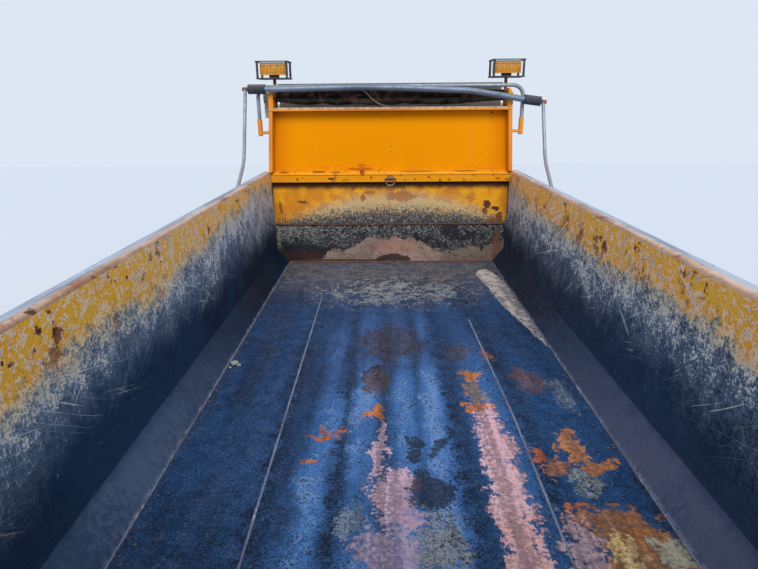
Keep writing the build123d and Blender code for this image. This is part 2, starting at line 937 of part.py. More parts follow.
# Gear motor that hangs from the left end of the roller
motor_radius = 24
motor_gap = 8
motor_length = 130
motor_drop = 174
gearbox_depth = 44
gearbox_width = 76
gearbox_height = 84
gearbox_corner = 14
gearbox_drop = 8
neck_radius = 20
stub_clearance = 1
motor_x = -head_top_half - motor_radius - motor_gap
motor_offset = 22
motor_ahead = roll_ahead + motor_offset
gearbox_face = motor_x + gearbox_depth / 2
with BuildPart() as roller_motor:
    with BuildSketch(Plane.XY.offset(above(roll_above - motor_drop))):
        with Locations((motor_x, ahead(motor_ahead))):
            Circle(motor_radius)
    extrude(amount=motor_length)
    with BuildSketch(along(motor_x - gearbox_depth / 2)):
        with Locations((ahead(motor_ahead), above(roll_above - gearbox_drop))):
            RectangleRounded(gearbox_width, gearbox_height, gearbox_corner)
    extrude(amount=gearbox_depth)
    with BuildSketch(along(gearbox_face)):
        with Locations((ahead(roll_ahead), above(roll_above))):
            Circle(neck_radius)
    extrude(amount=-plate_x - plate_gauge - fit - gearbox_face)
    with BuildSketch(along(-stub_half - stub_clearance)):
        with Locations((ahead(roll_ahead), above(roll_above))):
            Circle(stub_radius + fit)
    extrude(amount=stub_half, mode=Mode.SUBTRACT)

roller_motor.part.label = "roller_motor"
export_step(roller_motor.part, "parts/roller_motor.step")

# Pipe hoop over the roll, in sockets on the outside of the shield
hoop_radius = 16
hoop_stand = 51
hoop_ahead = -10
hoop_lift = 78
hoop_bend = 90
hoop_seat = 60
socket_drop = 86
socket_length = 140
socket_radius = 21
socket_fillet = 12
peg_radius = 13
peg_rise = 30
hoop_half = head_half + hoop_stand
hoop_top_above = roll_above + hoop_lift
socket_top_above = riser_top_above - socket_drop
socket_foot_above = socket_top_above - socket_length
hoop_foot_above = socket_foot_above + hoop_seat
peg_above = socket_foot_above + peg_rise
peg_start = head_x(peg_above - peg_radius) + fit
with BuildPart() as hoop:
    with BuildLine() as hoop_path:
        FilletPolyline(
            (-hoop_half, ahead(hoop_ahead), above(hoop_foot_above)),
            (-hoop_half, ahead(hoop_ahead), above(hoop_top_above)),
            (hoop_half, ahead(hoop_ahead), above(hoop_top_above)),
            (hoop_half, ahead(hoop_ahead), above(hoop_foot_above)),
            radius=hoop_bend,
        )
    with BuildSketch(Plane.XY.offset(above(hoop_foot_above))):
        with Locations((-hoop_half, ahead(hoop_ahead))):
            Circle(hoop_radius)
    sweep()

hoop.part.label = "tarp_hoop"
export_step(hoop.part, "parts/tarp_hoop.step")

with BuildPart() as hoop_sockets:
    with BuildSketch(Plane.XY.offset(above(socket_foot_above))):
        with Locations((hoop_half, ahead(hoop_ahead))):
            Circle(socket_radius)
    extrude(amount=socket_top_above - socket_foot_above)
    with BuildSketch(along(peg_start)):
        with Locations((ahead(hoop_ahead), above(peg_above))):
            Circle(peg_radius)
    extrude(amount=hoop_half - peg_start)
    fillet(hoop_sockets.faces().sort_by(Axis.Z)[0].edges(), radius=socket_fillet)
    with BuildSketch(Plane.XY.offset(above(hoop_foot_above - fit))):
        with Locations((hoop_half, ahead(hoop_ahead))):
            Circle(hoop_radius + fit)
    extrude(amount=socket_length, mode=Mode.SUBTRACT)
    mirror(about=Plane.YZ)

hoop_sockets.part.label = "hoop_sockets"
export_step(hoop_sockets.part, "parts/hoop_sockets.step")

# Warning lamps on posts above the roller brackets
lamp_x = plate_x
lamp_ahead = 110
lamp_lift = 144
guard_width = 285
guard_depth = 200
guard_height = 142
guard_bar = 12
guard_ring = 8
guard_corner = 14
guard_bracket = 60
guard_strap = 40
guard_upright = 18
upright_inset = 18
upright_depth = 8
lamp_post_radius = 14
guard_foot_above = roll_above + lamp_lift
lamp_post_foot = canopy_above(lamp_ahead + lamp_post_radius) + fit
with BuildPart() as lamp_posts:
    with BuildSketch(Plane.XY.offset(above(lamp_post_foot))):
        with Locations((lamp_x, ahead(lamp_ahead)), (-lamp_x, ahead(lamp_ahead))):
            Circle(lamp_post_radius)
    extrude(amount=guard_foot_above - lamp_post_foot - fit)

lamp_posts.part.label = "lamp_posts"
export_step(lamp_posts.part, "parts/lamp_posts.step")

with BuildPart() as lamp_guard:
    for foot in (guard_foot_above, guard_foot_above + guard_height - guard_ring):
        with BuildSketch(Plane.XY.offset(above(foot))):
            with Locations((lamp_x, ahead(lamp_ahead))):
                RectangleRounded(guard_width, guard_depth, guard_corner)
                offset(amount=-guard_bar, mode=Mode.SUBTRACT)
        extrude(amount=guard_ring)
    with BuildSketch(Plane.XY.offset(above(guard_foot_above))):
        with Locations((lamp_x, ahead(lamp_ahead))):
            Rectangle(guard_bracket, guard_depth - guard_bar)
            Rectangle(guard_width - guard_bar, guard_strap)
    extrude(amount=guard_ring)
    with BuildSketch(Plane.XY.offset(above(guard_foot_above + guard_ring))):
        with Locations((lamp_x, ahead(lamp_ahead))):
            with GridLocations(guard_width - 2 * upright_inset, guard_depth - guard_bar, 2, 2):
                Rectangle(guard_upright, upright_depth)
    extrude(amount=guard_height - 2 * guard_ring)

save_pair(lamp_guard.part, "lamp_guard")

lens_width = 235
lens_depth = 112
lens_height = 90
lens_corner = 36
lens_crown = 12
mount_width = 80
mount_depth = 60
mount_height = 26
mount_corner = 10
mount_foot_above = guard_foot_above + guard_ring
lens_foot_above = mount_foot_above + mount_height
with BuildPart() as lamp_mounts:
    with BuildSketch(Plane.XY.offset(above(mount_foot_above))):
        with Locations((lamp_x, ahead(lamp_ahead)), (-lamp_x, ahead(lamp_ahead))):
            RectangleRounded(mount_width, mount_depth, mount_corner)
    extrude(amount=mount_height)

lamp_mounts.part.label = "lamp_mounts"
export_step(lamp_mounts.part, "parts/lamp_mounts.step")

with BuildPart() as lamp_lens:
    with BuildSketch(Plane.XY.offset(above(lens_foot_above))):
        with Locations((lamp_x, ahead(lamp_ahead))):
            RectangleRounded(lens_width, lens_depth, lens_corner)
    extrude(amount=lens_height)
    fillet(lamp_lens.faces().sort_by(Axis.Z)[-1].edges(), radius=lens_crown)

save_pair(lamp_lens.part, "lamp_lens")

# Tarp bow: two bent arms and a bent crossbar, hinged low on a side post
bow_post = 4
bow_pivot_ahead = -bow_post * post_pitch
bow_pivot_above = 250
bow_stand = 31
bow_pivot_x = outer_half + bow_stand
bow_arm_radius = 14
bow_hub_radius = 27
bow_pin_radius = 12
bow_lean = 34
bow_bar_ahead = -75
bow_bar_radius = 25
bow_fitting_radius = 17
bow_fitting_reach = 50
fitting_chamfer = 4
# arm route: ahead of the front wall, above the floor, share of the sideways lean
arm_route = [
    (bow_pivot_ahead, bow_pivot_above, 0),
    (-890, 480, 0.55),
    (-560, 770, 0.7),
    (-300, 955, 0.85),
]
arm_bends = [500, 700, 300]
# crossbar route: sideways as a share of the pivot's distance, above the roll's axis
bar_route = [
    (-0.952, 59),
    (-0.772, 58),
    (-0.234, 68),
    (0.067, 61),
    (0.538, 36),
    (0.774, -10),
    (0.877, -33),
    (1.010, -55),
]
bar_bends = [2500, 2500, 1500, 1500, 1500, 500]


bar_points = []
for share, lift in bar_route:
    bar_points.append(Vector(share * bow_pivot_x, ahead(bow_bar_ahead), above(roll_above + lift)))
# planes across the ends of the crossbar, facing outwards
bar_ends = {
    -1: Plane(origin=bar_points[0], z_dir=bar_points[0] - bar_points[1]),
    1: Plane(origin=bar_points[-1], z_dir=bar_points[-1] - bar_points[-2]),
}


def bow_arm(side):
    points = []
    for y, z, share in arm_route:
        points.append((side * bow_pivot_x + share * bow_lean, ahead(y), above(z)))
    points.append((side * bow_pivot_x + bow_lean, ahead(bow_bar_ahead), bar_ends[side].origin.Z))
    with BuildPart() as arm:
        with BuildLine():
            FilletPolyline(points, radius=arm_bends)
        with BuildSketch(Plane(origin=points[0], z_dir=Vector(points[1]) - Vector(points[0]))):
            Circle(bow_arm_radius)
        sweep()
        with BuildSketch(along(side * bow_pivot_x - bow_arm_radius)):
            with Locations((ahead(bow_pivot_ahead), above(bow_pivot_above))):
                Circle(bow_hub_radius)
        extrude(amount=2 * bow_arm_radius)
        with BuildSketch(along(side * bow_pivot_x - 2 * bow_arm_radius)):
            with Locations((ahead(bow_pivot_ahead), above(bow_pivot_above))):
                Circle(bow_pin_radius + fit)
        extrude(amount=4 * bow_arm_radius, mode=Mode.SUBTRACT)
        # the top end is coped to the crossbar's fitting
        with BuildSketch(bar_ends[side]):
            Circle(bow_fitting_radius + fit)
        extrude(amount=2 * bow_fitting_reach, mode=Mode.SUBTRACT)
    return arm.part


bow_arm_left = bow_arm(-1)
bow_arm_left.label = "bow_arm_left"
export_step(bow_arm_left, "parts/bow_arm_left.step")

bow_arm_right = bow_arm(1)
bow_arm_right.label = "bow_arm_right"
export_step(bow_arm_right, "parts/bow_arm_right.step")

with BuildPart() as bow_crossbar:
    with BuildLine():
        FilletPolyline(bar_points, radius=bar_bends)
    with BuildSketch(bar_ends[-1]):
        Circle(bow_bar_radius)
    sweep()

bow_crossbar.part.label = "bow_crossbar"
export_step(bow_crossbar.part, "parts/bow_crossbar.step")

# End fittings of the crossbar, which the arms are bolted to
with BuildPart() as bow_fittings:
    for plane in bar_ends.values():
        with BuildSketch(plane.offset(fit)):
            Circle(bow_fitting_radius)
        extrude(amount=bow_fitting_reach)
    for group in (0, -1):
        end_edges = bow_fittings.edges().filter_by(GeomType.CIRCLE).group_by(Axis.X)[group]
        chamfer(end_edges, length=fitting_chamfer)

bow_fittings.part.label = "bow_fittings"
export_step(bow_fittings.part, "parts/bow_fittings.step")

# Rubber sleeves near both ends of the crossbar
sleeve_radius = 39
sleeve_length = 140
sleeve_chamfer = 5
with BuildPart() as bow_sleeves:
    for plane in bar_ends.values():
        with BuildSketch(plane):
            Circle(sleeve_radius)
            Circle(bow_bar_radius + fit, mode=Mode.SUBTRACT)
        extrude(amount=-sleeve_length)
    for group in (0, -1):
        end_edges = bow_sleeves.edges().filter_by(GeomType.CIRCLE).group_by(Axis.X)[group]
        chamfer(end_edges, length=sleeve_chamfer)

bow_sleeves.part.label = "bow_sleeves"
export_step(bow_sleeves.part, "parts/bow_sleeves.step")


def post_x(z):
    # outer face of a side post at a height above the floor
    share = (z - rub_z(post_foot_half)) / (rail_foot - rub_z(post_foot_half))
    return post_foot_half + (rail_half - post_foot_half) * share


# Pivots of the bow: a wedge on the post, a pin, and a cap outside the arm
pivot_half = 55
pivot_taper = 15
pivot_depth = 70
cap_setback = 4
cap_reach = 12
pivot_face = bow_pivot_x - bow_arm_radius - running_gap
pin_end = bow_pivot_x + bow_arm_radius + running_gap
pivot_foot_above = bow_pivot_above - pivot_half
pivot_head_above = bow_pivot_above + pivot_half
with BuildPart() as bow_pivots:
    with BuildSketch(across(ahead(bow_pivot_ahead) + pivot_depth / 2)):
        with BuildLine():
            Polyline(
                (post_x(pivot_foot_above) + fit, above(pivot_foot_above)),
                (pivot_face, above(pivot_foot_above + pivot_taper)),
                (pivot_face, above(pivot_head_above - pivot_taper)),
                (post_x(pivot_head_above) + fit, above(pivot_head_above)),
                close=True,
            )
        make_face()
    extrude(amount=pivot_depth)
    with BuildSketch(along(pivot_face)):
        with Locations((ahead(bow_pivot_ahead), above(bow_pivot_above))):
            Circle(bow_pin_radius)
    extrude(amount=pin_end - pivot_face)
    with BuildSketch(along(pin_end)):
        with Locations((ahead(bow_pivot_ahead), above(bow_pivot_above))):
            Circle(bow_hub_radius - cap_setback)
    extrude(amount=cap_reach)
    mirror(about=Plane.YZ)

bow_pivots.part.label = "bow_pivots"
export_step(bow_pivots.part, "parts/bow_pivots.step")

# Tie ring in its clip on the face of the ledge
ring_radius = 6.5
ring_half = 43
ring_drop = 24
ring_corner = 12
ring_pin_drop = 24
clip_gauge = 7
clip_width = 60
clip_height = 47
clip_margin = 1
clip_corner = 6
knuckle_wall = 5
clip_bore = ring_radius + fit
knuckle_radius = clip_bore + knuckle_wall
ring_pin_above = ledge_face_above - ring_pin_drop
ring_y = ledge_face - clip_gauge - clip_bore - clip_margin
with BuildPart() as ring_clip:
    with BuildSketch(across(ahead(ledge_face - fit))):
        with Locations((0, above(ledge_face_above - clip_margin - clip_height / 2))):
            RectangleRounded(clip_width, clip_height, clip_corner)
    extrude(amount=clip_gauge)
    with BuildSketch(along(-clip_width / 4)):
        with Locations((ahead(ring_y), above(ring_pin_above))):
            Circle(knuckle_radius)
        with Locations((ahead((ring_y + ledge_face - clip_gauge) / 2), above(ring_pin_above))):
            Rectangle(ledge_face - clip_gauge - ring_y, 2 * knuckle_radius)
    extrude(amount=clip_width / 2)
    with BuildSketch(along(-clip_width / 2)):
        with Locations((ahead(ring_y), above(ring_pin_above))):
            Circle(clip_bore)
    extrude(amount=clip_width, mode=Mode.SUBTRACT)

ring_clip.part.label = "ring_clip"
export_step(ring_clip.part, "parts/ring_clip.step")

pin_z = above(ring_pin_above)
pin_half = ring_half - ring_corner
with BuildPart() as tie_ring:
    with BuildLine(across(ahead(ring_y))) as ring_path:
        bar = Line((-pin_half, pin_z), (pin_half, pin_z))
        right_corner = TangentArc(bar @ 1, (ring_half, pin_z - ring_corner), tangent=bar % 1)
        right_side = Line(right_corner @ 1, (ring_half, pin_z - ring_drop))
        bow = TangentArc(right_side @ 1, (-ring_half, pin_z - ring_drop), tangent=right_side % 1)
        left_side = Line(bow @ 1, (-ring_half, pin_z - ring_corner))
        TangentArc(left_side @ 1, bar @ 0, tangent=left_side % 1)
    with BuildSketch(along(0)):
        with Locations((ahead(ring_y), pin_z)):
            Circle(ring_radius)
    sweep(path=ring_path.wire())

tie_ring.part.label = "tie_ring"
export_step(tie_ring.part, "parts/tie_ring.step")

# Tie cord that lies across the rolled tarp, both ends tucked into the roll
cord_radius = 4
cord_gap = 2.4
cord_seat = roll_radius + cord_radius + cord_gap
cord_dip = 4
cord_rise = cord_seat - cord_dip
tuck_depth = 16
cord_tuck = roll_radius - tuck_depth
# route: sideways, turn round the roll from the side that faces the load, seat or depth
cord_route = [
    (-338, 74, cord_tuck),
    (-334, 66, cord_rise),
    (-320, 52, cord_seat),
    (-297, 40, cord_seat),
    (-262, 35, cord_seat),
    (-228, 30, cord_seat),
    (-202, 16, cord_seat),
    (-176, -3, cord_seat),
    (-148, -21, cord_seat),
    (-117, -38, cord_seat),
    (-84, -54, cord_seat),
    (-50, -68, cord_seat),
    (-22, -82, cord_seat),
    (-4, -98, cord_rise),
    (2, -106, cord_tuck),
]


def cord_point(x, turn, reach):
    return Vector(
        x,
        ahead(roll_ahead) - reach * cos(radians(turn)),
        above(roll_above) + reach * sin(radians(turn)),
    )


cord_points = [cord_point(*row) for row in cord_route]
cord_radii = []
for before, here, after in zip(cord_points, cord_points[1:], cord_points[2:]):
    turn = (here - before).get_angle(after - here)
    shorter = min((here - before).length, (after - here).length)
    cord_radii.append(0.45 * shorter / tan(radians(turn / 2)))
print("cord radii", [round(radius) for radius in cord_radii])
print("cord runs", [round((b - a).length) for a, b in zip(cord_points, cord_points[1:])])

with BuildPart() as tie_cord:
    with BuildLine() as cord_path:
        FilletPolyline(cord_points, radius=cord_radii)
    with BuildSketch(Plane(origin=cord_points[0], z_dir=cord_points[1] - cord_points[0])):
        Circle(cord_radius)
    sweep()
cord_length = cord_path.wire().length
cord_volume = cord_length * pi * cord_radius**2
print("cord length", round(cord_length), "volume share", round(tie_cord.part.volume / cord_volume, 3))

tie_cord.part.label = "tie_cord"
export_step(tie_cord.part, "parts/tie_cord.step")
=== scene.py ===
import math
import random
import bmesh
import bpy
from mathutils import Matrix, Vector


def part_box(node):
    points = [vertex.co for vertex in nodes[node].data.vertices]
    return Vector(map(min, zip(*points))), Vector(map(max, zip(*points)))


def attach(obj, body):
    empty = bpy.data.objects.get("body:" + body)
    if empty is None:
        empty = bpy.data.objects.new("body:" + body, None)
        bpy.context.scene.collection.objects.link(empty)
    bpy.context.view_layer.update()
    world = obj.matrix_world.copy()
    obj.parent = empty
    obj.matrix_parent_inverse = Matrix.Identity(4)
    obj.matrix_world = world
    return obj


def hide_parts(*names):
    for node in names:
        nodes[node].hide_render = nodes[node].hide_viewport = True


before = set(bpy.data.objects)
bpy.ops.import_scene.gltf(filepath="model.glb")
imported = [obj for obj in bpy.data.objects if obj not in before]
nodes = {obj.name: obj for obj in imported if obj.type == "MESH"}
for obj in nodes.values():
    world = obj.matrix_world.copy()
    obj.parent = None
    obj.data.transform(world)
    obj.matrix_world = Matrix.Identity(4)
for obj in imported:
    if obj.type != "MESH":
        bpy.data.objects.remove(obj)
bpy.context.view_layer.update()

print("frame loaded,", len(nodes), "nodes")

# the view of the photograph: from the open rear, looking down into the body
cameraSetup = {"place": (-0.05, -2.808, 1.705), "lens": 25.41, "sensor": 36.0,
               "yaw": 0.685, "pitch": 71.55, "roll": -0.45}


def addObject(name, data):
    made = bpy.data.objects.new(name, data)
    bpy.context.collection.objects.link(made)
    return made


def makeCamera(setup):
    lens = bpy.data.cameras.new("bodyCamera")
    lens.lens = setup["lens"]
    lens.sensor_width = setup["sensor"]
    lens.sensor_fit = "HORIZONTAL"
    lens.clip_start = 0.02
    camera = addObject("bodyCamera", lens)
    camera.matrix_world = (Matrix.Translation(setup["place"])
                           @ Matrix.Rotation(math.radians(setup["yaw"]), 4, "Z")
                           @ Matrix.Rotation(math.radians(setup["pitch"]), 4, "X")
                           @ Matrix.Rotation(math.radians(setup["roll"]), 4, "Z"))
    bpy.context.scene.camera = camera


makeCamera(cameraSetup)

# the cord that ties the roll: place across, turn about the roll, reach from its axis
rollAxis = {"y": 2.092, "z": 1.787}
tieCord = {"radius": 0.004, "length": 0.455,
           "route": [
               (-0.338, 74, 0.062), (-0.334, 66, 0.0804), (-0.32, 52, 0.0844), (-0.297, 40, 0.0844),
               (-0.262, 35, 0.0844), (-0.228, 30, 0.0844), (-0.202, 16, 0.0844), (-0.176, -3, 0.0844),
               (-0.148, -21, 0.0844), (-0.117, -38, 0.0844), (-0.084, -54, 0.0844), (-0.05, -68, 0.0844),
               (-0.022, -82, 0.0844), (-0.004, -98, 0.0804), (0.002, -106, 0.062)]}


def aroundRoll(x, degrees, reach):
    angle = math.radians(degrees)
    return (x, rollAxis["y"] - reach * math.cos(angle), rollAxis["z"] + reach * math.sin(angle))


def makeTieCord(setup):
    line = bpy.data.curves.new("tieCord", "CURVE")
    line.dimensions = "3D"
    line.resolution_u = 10
    line.bevel_depth = 1.0  # times each point's own radius
    line.bevel_resolution = 4
    line.use_fill_caps = True
    spline = line.splines.new("NURBS")
    points = [aroundRoll(*row) for row in setup["route"]]
    spline.points.add(len(points) - 1)
    for point, place in zip(spline.points, points):
        point.co = (*place, 1.0)
        point.radius = setup["radius"]
    spline.order_u = 3
    spline.use_endpoint_u = True
    cord = addObject("tieCord", line)
    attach(cord, "tarp_roller")
    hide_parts("tie_cord")
    return cord


tie = makeTieCord(tieCord)
print("camera and tie cord made")


# shader work: a socket that reads as a value in a sum
class Wire:
    def __init__(self, socket):
        self.socket = socket

    def node(self, kind, settings=None, sockets=None, out=0):
        tree = self.socket.id_data
        made = tree.nodes.new(kind)
        for name, value in (settings or {}).items():
            if name == "stops":
                for at, shade in value[1:-1]:
                    made.color_ramp.elements.new(at)
                for stop, (at, shade) in zip(made.color_ramp.elements, value):
                    stop.position = at
                    stop.color = shade
            else:
                setattr(made, name, value)
        for name, value in (sockets or {}).items():
            if isinstance(value, Wire):
                tree.links.new(value.socket, made.inputs[name])
            else:
                made.inputs[name].default_value = value
        return Wire(made.outputs[out])

    def combine(self, operation, first, second):
        if self.socket.type in ("VECTOR", "RGBA"):
            return self.node("ShaderNodeVectorMath", {"operation": operation}, {0: first, 1: second})
        return self.node("ShaderNodeMath", {"operation": operation}, {0: first, 1: second})

    def __add__(self, other):
        return self.combine("ADD", self, other)

    def __radd__(self, other):
        return self.combine("ADD", other, self)

    def __sub__(self, other):
        return self.combine("SUBTRACT", self, other)

    def __rsub__(self, other):
        return self.combine("SUBTRACT", other, self)

    def __mul__(self, other):
        return self.combine("MULTIPLY", self, other)

    def __rmul__(self, other):
        return self.combine("MULTIPLY", other, self)

    def __truediv__(self, other):
        return self.combine("DIVIDE", self, other)

    def least(self, other):
        return self.combine("MINIMUM", self, other)

    def most(self, other):
        return self.combine("MAXIMUM", self, other)

    def away(self):
        return self.combine("ABSOLUTE", self, 0.0)

    def wave(self):
        return self.node("ShaderNodeMath", {"operation": "SINE"}, {0: self})

    def size(self):
        return self.node("ShaderNodeVectorMath", {"operation": "LENGTH"}, {0: self}, out=1)

    def part(self, axis):
        return self.node("ShaderNodeSeparateXYZ", {}, {0: self}, out="XYZ".index(axis))

    # 0 to 1 as the value goes from low to high, or falling where high is the lower
    def rise(self, low, high):
        return self.node("ShaderNodeMapRange", {"interpolation_type": "SMOOTHSTEP"},
                         {"Value": self, "From Min": low, "From Max": high})

    def noise(self, scale, detail=3.0, rough=0.55, out=0):
        return self.node("ShaderNodeTexNoise", {}, {"Vector": self, "Scale": scale, "Detail": detail,
                                                    "Roughness": rough}, out=out)

    # noise stretched to run from -0.5 to 0.5, for tearing an edge
    def rag(self, scale, detail=3.0, rough=0.6):
        return self.noise(scale, detail, rough).rise(0.34, 0.66) - 0.5

    # one such noise per row
    def rags(self, *rows):
        return [self.rag(*row) for row in rows]

    # how far noise shakes a place, at most half the reach each way
    def shake(self, reach, scale, detail, rough=0.55):
        return (self.noise(scale, detail, rough, out=1) - (0.5, 0.5, 0.5)) * reach

    # this mask lays the second colour over the first, three numbers being levels of 255
    def over(self, under, top):
        under, top = [tint(*shade) if isinstance(shade, tuple) and len(shade) == 3 else shade
                      for shade in (under, top)]
        return self.node("ShaderNodeMix", {"data_type": "RGBA"}, {0: self, 6: under, 7: top}, out=2)


def tint(red, green, blue):
    shades = []
    for level in (red, green, blue):
        share = level / 255
        shades.append(share / 12.92 if share <= 0.04045 else ((share + 0.055) / 1.055) ** 2.4)
    return (*shades, 1.0)


# a new material with the piece's own coordinates, and the colour laid on it so far
class Skin:
    def __init__(self, name):
        self.material = bpy.data.materials.new(name)
        self.material.use_nodes = True
        self.tree = self.material.node_tree
        coordinates = self.tree.nodes.new("ShaderNodeTexCoord")
        self.place = Wire(coordinates.outputs["Object"])
        self.facing = Wire(coordinates.outputs["Normal"])
        self.colour = None

    def lay(self, mask, shade):
        self.colour = mask.over(self.colour, shade)

    def link(self, inputs):
        shader = self.tree.nodes["Principled BSDF"]
        for name, value in inputs.items():
            if isinstance(value, Wire):
                self.tree.links.new(value.socket, shader.inputs[name])
            else:
                shader.inputs[name].default_value = value

    # relief in metres, and how strongly it shows
    def done(self, rough, relief, depth, strength, more=None):
        bump = relief.node("ShaderNodeBump", {}, {"Height": relief, "Distance": depth, "Strength": strength})
        self.link({"Base Color": self.colour, "Roughness": rough, "Normal": bump, **(more or {})})
        return self.material


def dress(material, *names):
    for name in names:
        mesh = nodes[name].data
        mesh.materials.clear()
        mesh.materials.append(material)


# a soft-edged oval patch at a place on the surface
def patch(spot, centre, half, soft=0.5):
    near = ((spot - centre) / half).size()
    return near.rise(1 + soft, 1 - soft)


# a soft mask whose edge is torn by coarse rags and speckled by fine ones
def tear(mask, coarse, fine, coarsely=0.75, finely=0.6):
    torn = mask * 1.3 + coarse * coarsely + fine * finely
    return torn.rise(0.44, 0.56) * mask.rise(0.02, 0.14)


# thin wandering lines, where a stretched noise crosses its middle
def lines(noise, width):
    return (noise - 0.5).away().rise(width, width * 0.3)


paints = {"orange": (222, 138, 6), "deepOrange": (196, 108, 6), "yellow": (206, 152, 44),
          "rust": (126, 62, 28), "freshRust": (190, 96, 34), "darkRust": (66, 36, 24),
          "dust": (168, 140, 118), "grime": (70, 58, 46)}


# orange paint that has faded to yellow in places
def orangePaint(broad, fine, faded):
    colour = broad.rise(0.35, 0.7).over(paints["orange"], paints["deepOrange"])
    return ((fine * 0.6 + broad * 0.4).rise(0.5, 0.68) * faded).over(colour, paints["yellow"])


# torn stains on an upright face: centre across and height, half sizes, colour, how solid
def stain(skin, flat, rows, soft, coarse, fine, finely):
    for x, z, wide, high, shade, solid in rows:
        mask = patch(flat, (x, 0.0, z), (wide, 1.0, high), soft)
        skin.lay(tear(mask, coarse, fine, 0.6, finely) * solid, shade)


# painted steel of the frame and the shield
def bodyPaint(name, setup):
    skin = Skin(name)
    place, lay = skin.place, skin.lay
    broad = place.noise(1.7, 2.0)
    fine = place.noise(23.0, 5.0, 0.6)
    grain = place.noise(160.0, 2.0)
    rain = (place * (9.0, 9.0, 0.9)).noise(2.2, 4.0, 0.6)
    skin.colour = orangePaint(broad, fine, setup["faded"])
    up = skin.facing.part("Z").rise(0.3, 0.9)
    dusty = (up * setup["dust"] + rain.rise(0.5, 0.72) * setup["streaks"]).least(1.0) * (0.45 + fine * 0.9)
    lay(dusty.least(1.0), paints["dust"])
    grimy = (rain.rise(0.52, 0.75) * fine.rise(0.4, 0.6)) * setup["grime"]
    lay(grimy.least(1.0), paints["grime"])
    chips = place.noise(setup["chipScale"], 6.0, 0.68)
    chipped = chips.rise(setup["chipFrom"], setup["chipFrom"] + 0.035)
    ring = chips.rise(setup["chipFrom"] - 0.03, setup["chipFrom"])
    lay(ring * 0.5, paints["freshRust"])
    lay(chipped, grain.rise(0.35, 0.65).over(paints["darkRust"], paints["rust"]))
    if "lip" in setup:  # the flange along the front is dusty beige
        lip = place.part("Y").rise(setup["lip"], setup["lip"] - 0.004)
        lip = lip * (place.part("Z") + fine * 0.004).rise(1.683, 1.687)
        lay(lip * 0.85, fine.rise(0.4, 0.6).over((150, 118, 92), (206, 184, 160)))
    rough = 0.36 + dusty * 0.3 + chipped * 0.35 + fine * 0.12
    relief = fine * 0.25 + grain * 0.12 - chipped * 0.8
    return skin.done(rough, relief, 0.0012, 0.7,
                     {"Specular IOR Level": 0.45, "Coat Weight": 0.12, "Coat Roughness": 0.25})


# outer faces of the plates: painted, dusty, rusting in spots
def outerPaint(place):
    broad = place.noise(1.7, 2.0)
    fine = place.noise(23.0, 5.0, 0.6)
    rain = (place * (7.0, 7.0, 0.9)).noise(2.2, 4.0, 0.6)
    colour = orangePaint(broad, fine, 0.35)
    colour = (rain.rise(0.5, 0.72) * 0.45).over(colour, paints["dust"])
    colour = (rain.rise(0.44, 0.3) * fine.rise(0.4, 0.6) * 0.5).over(colour, paints["grime"])
    chips = place.noise(7.0, 6.0, 0.68)
    colour = (chips.rise(0.62, 0.65) * 0.5).over(colour, paints["freshRust"])
    chipped = chips.rise(0.65, 0.68)
    return chipped.over(colour, fine.rise(0.35, 0.65).over(paints["darkRust"], paints["rust"]))


framePaint = {"faded": 0.35, "dust": 0.75, "streaks": 0.35, "grime": 0.6,
              "chipScale": 7.0, "chipFrom": 0.665}
shieldPaint = {"faded": 0.2, "dust": 0.8, "streaks": 0.18, "grime": 0.35,
               "chipScale": 9.0, "chipFrom": 0.7}
canopyPaint = {**shieldPaint, "lip": 2.01}  # where the canopy's front flange begins
framed = bodyPaint("framePaint", framePaint)
shielded = bodyPaint("shieldPaint", shieldPaint)
dress(framed, "rub_rail_left", "rub_rail_right", "side_posts_left", "side_posts_right", "front_stiffeners",
      "rear_post_left", "rear_post_right", "tailgate_ears", "tailgate_rails", "tailgate_ribs")
dress(bodyPaint("canopyPaint", canopyPaint), "shield_canopy")
dress(shielded, "shield_side_left", "shield_side_right", "roller_bracket_left",
      "roller_bracket_right", "hoop_sockets")
print("frame and shield painted")

# where the front wall's face and the floor's top lie
inside = {"front": 2.032, "floor": 0.313}

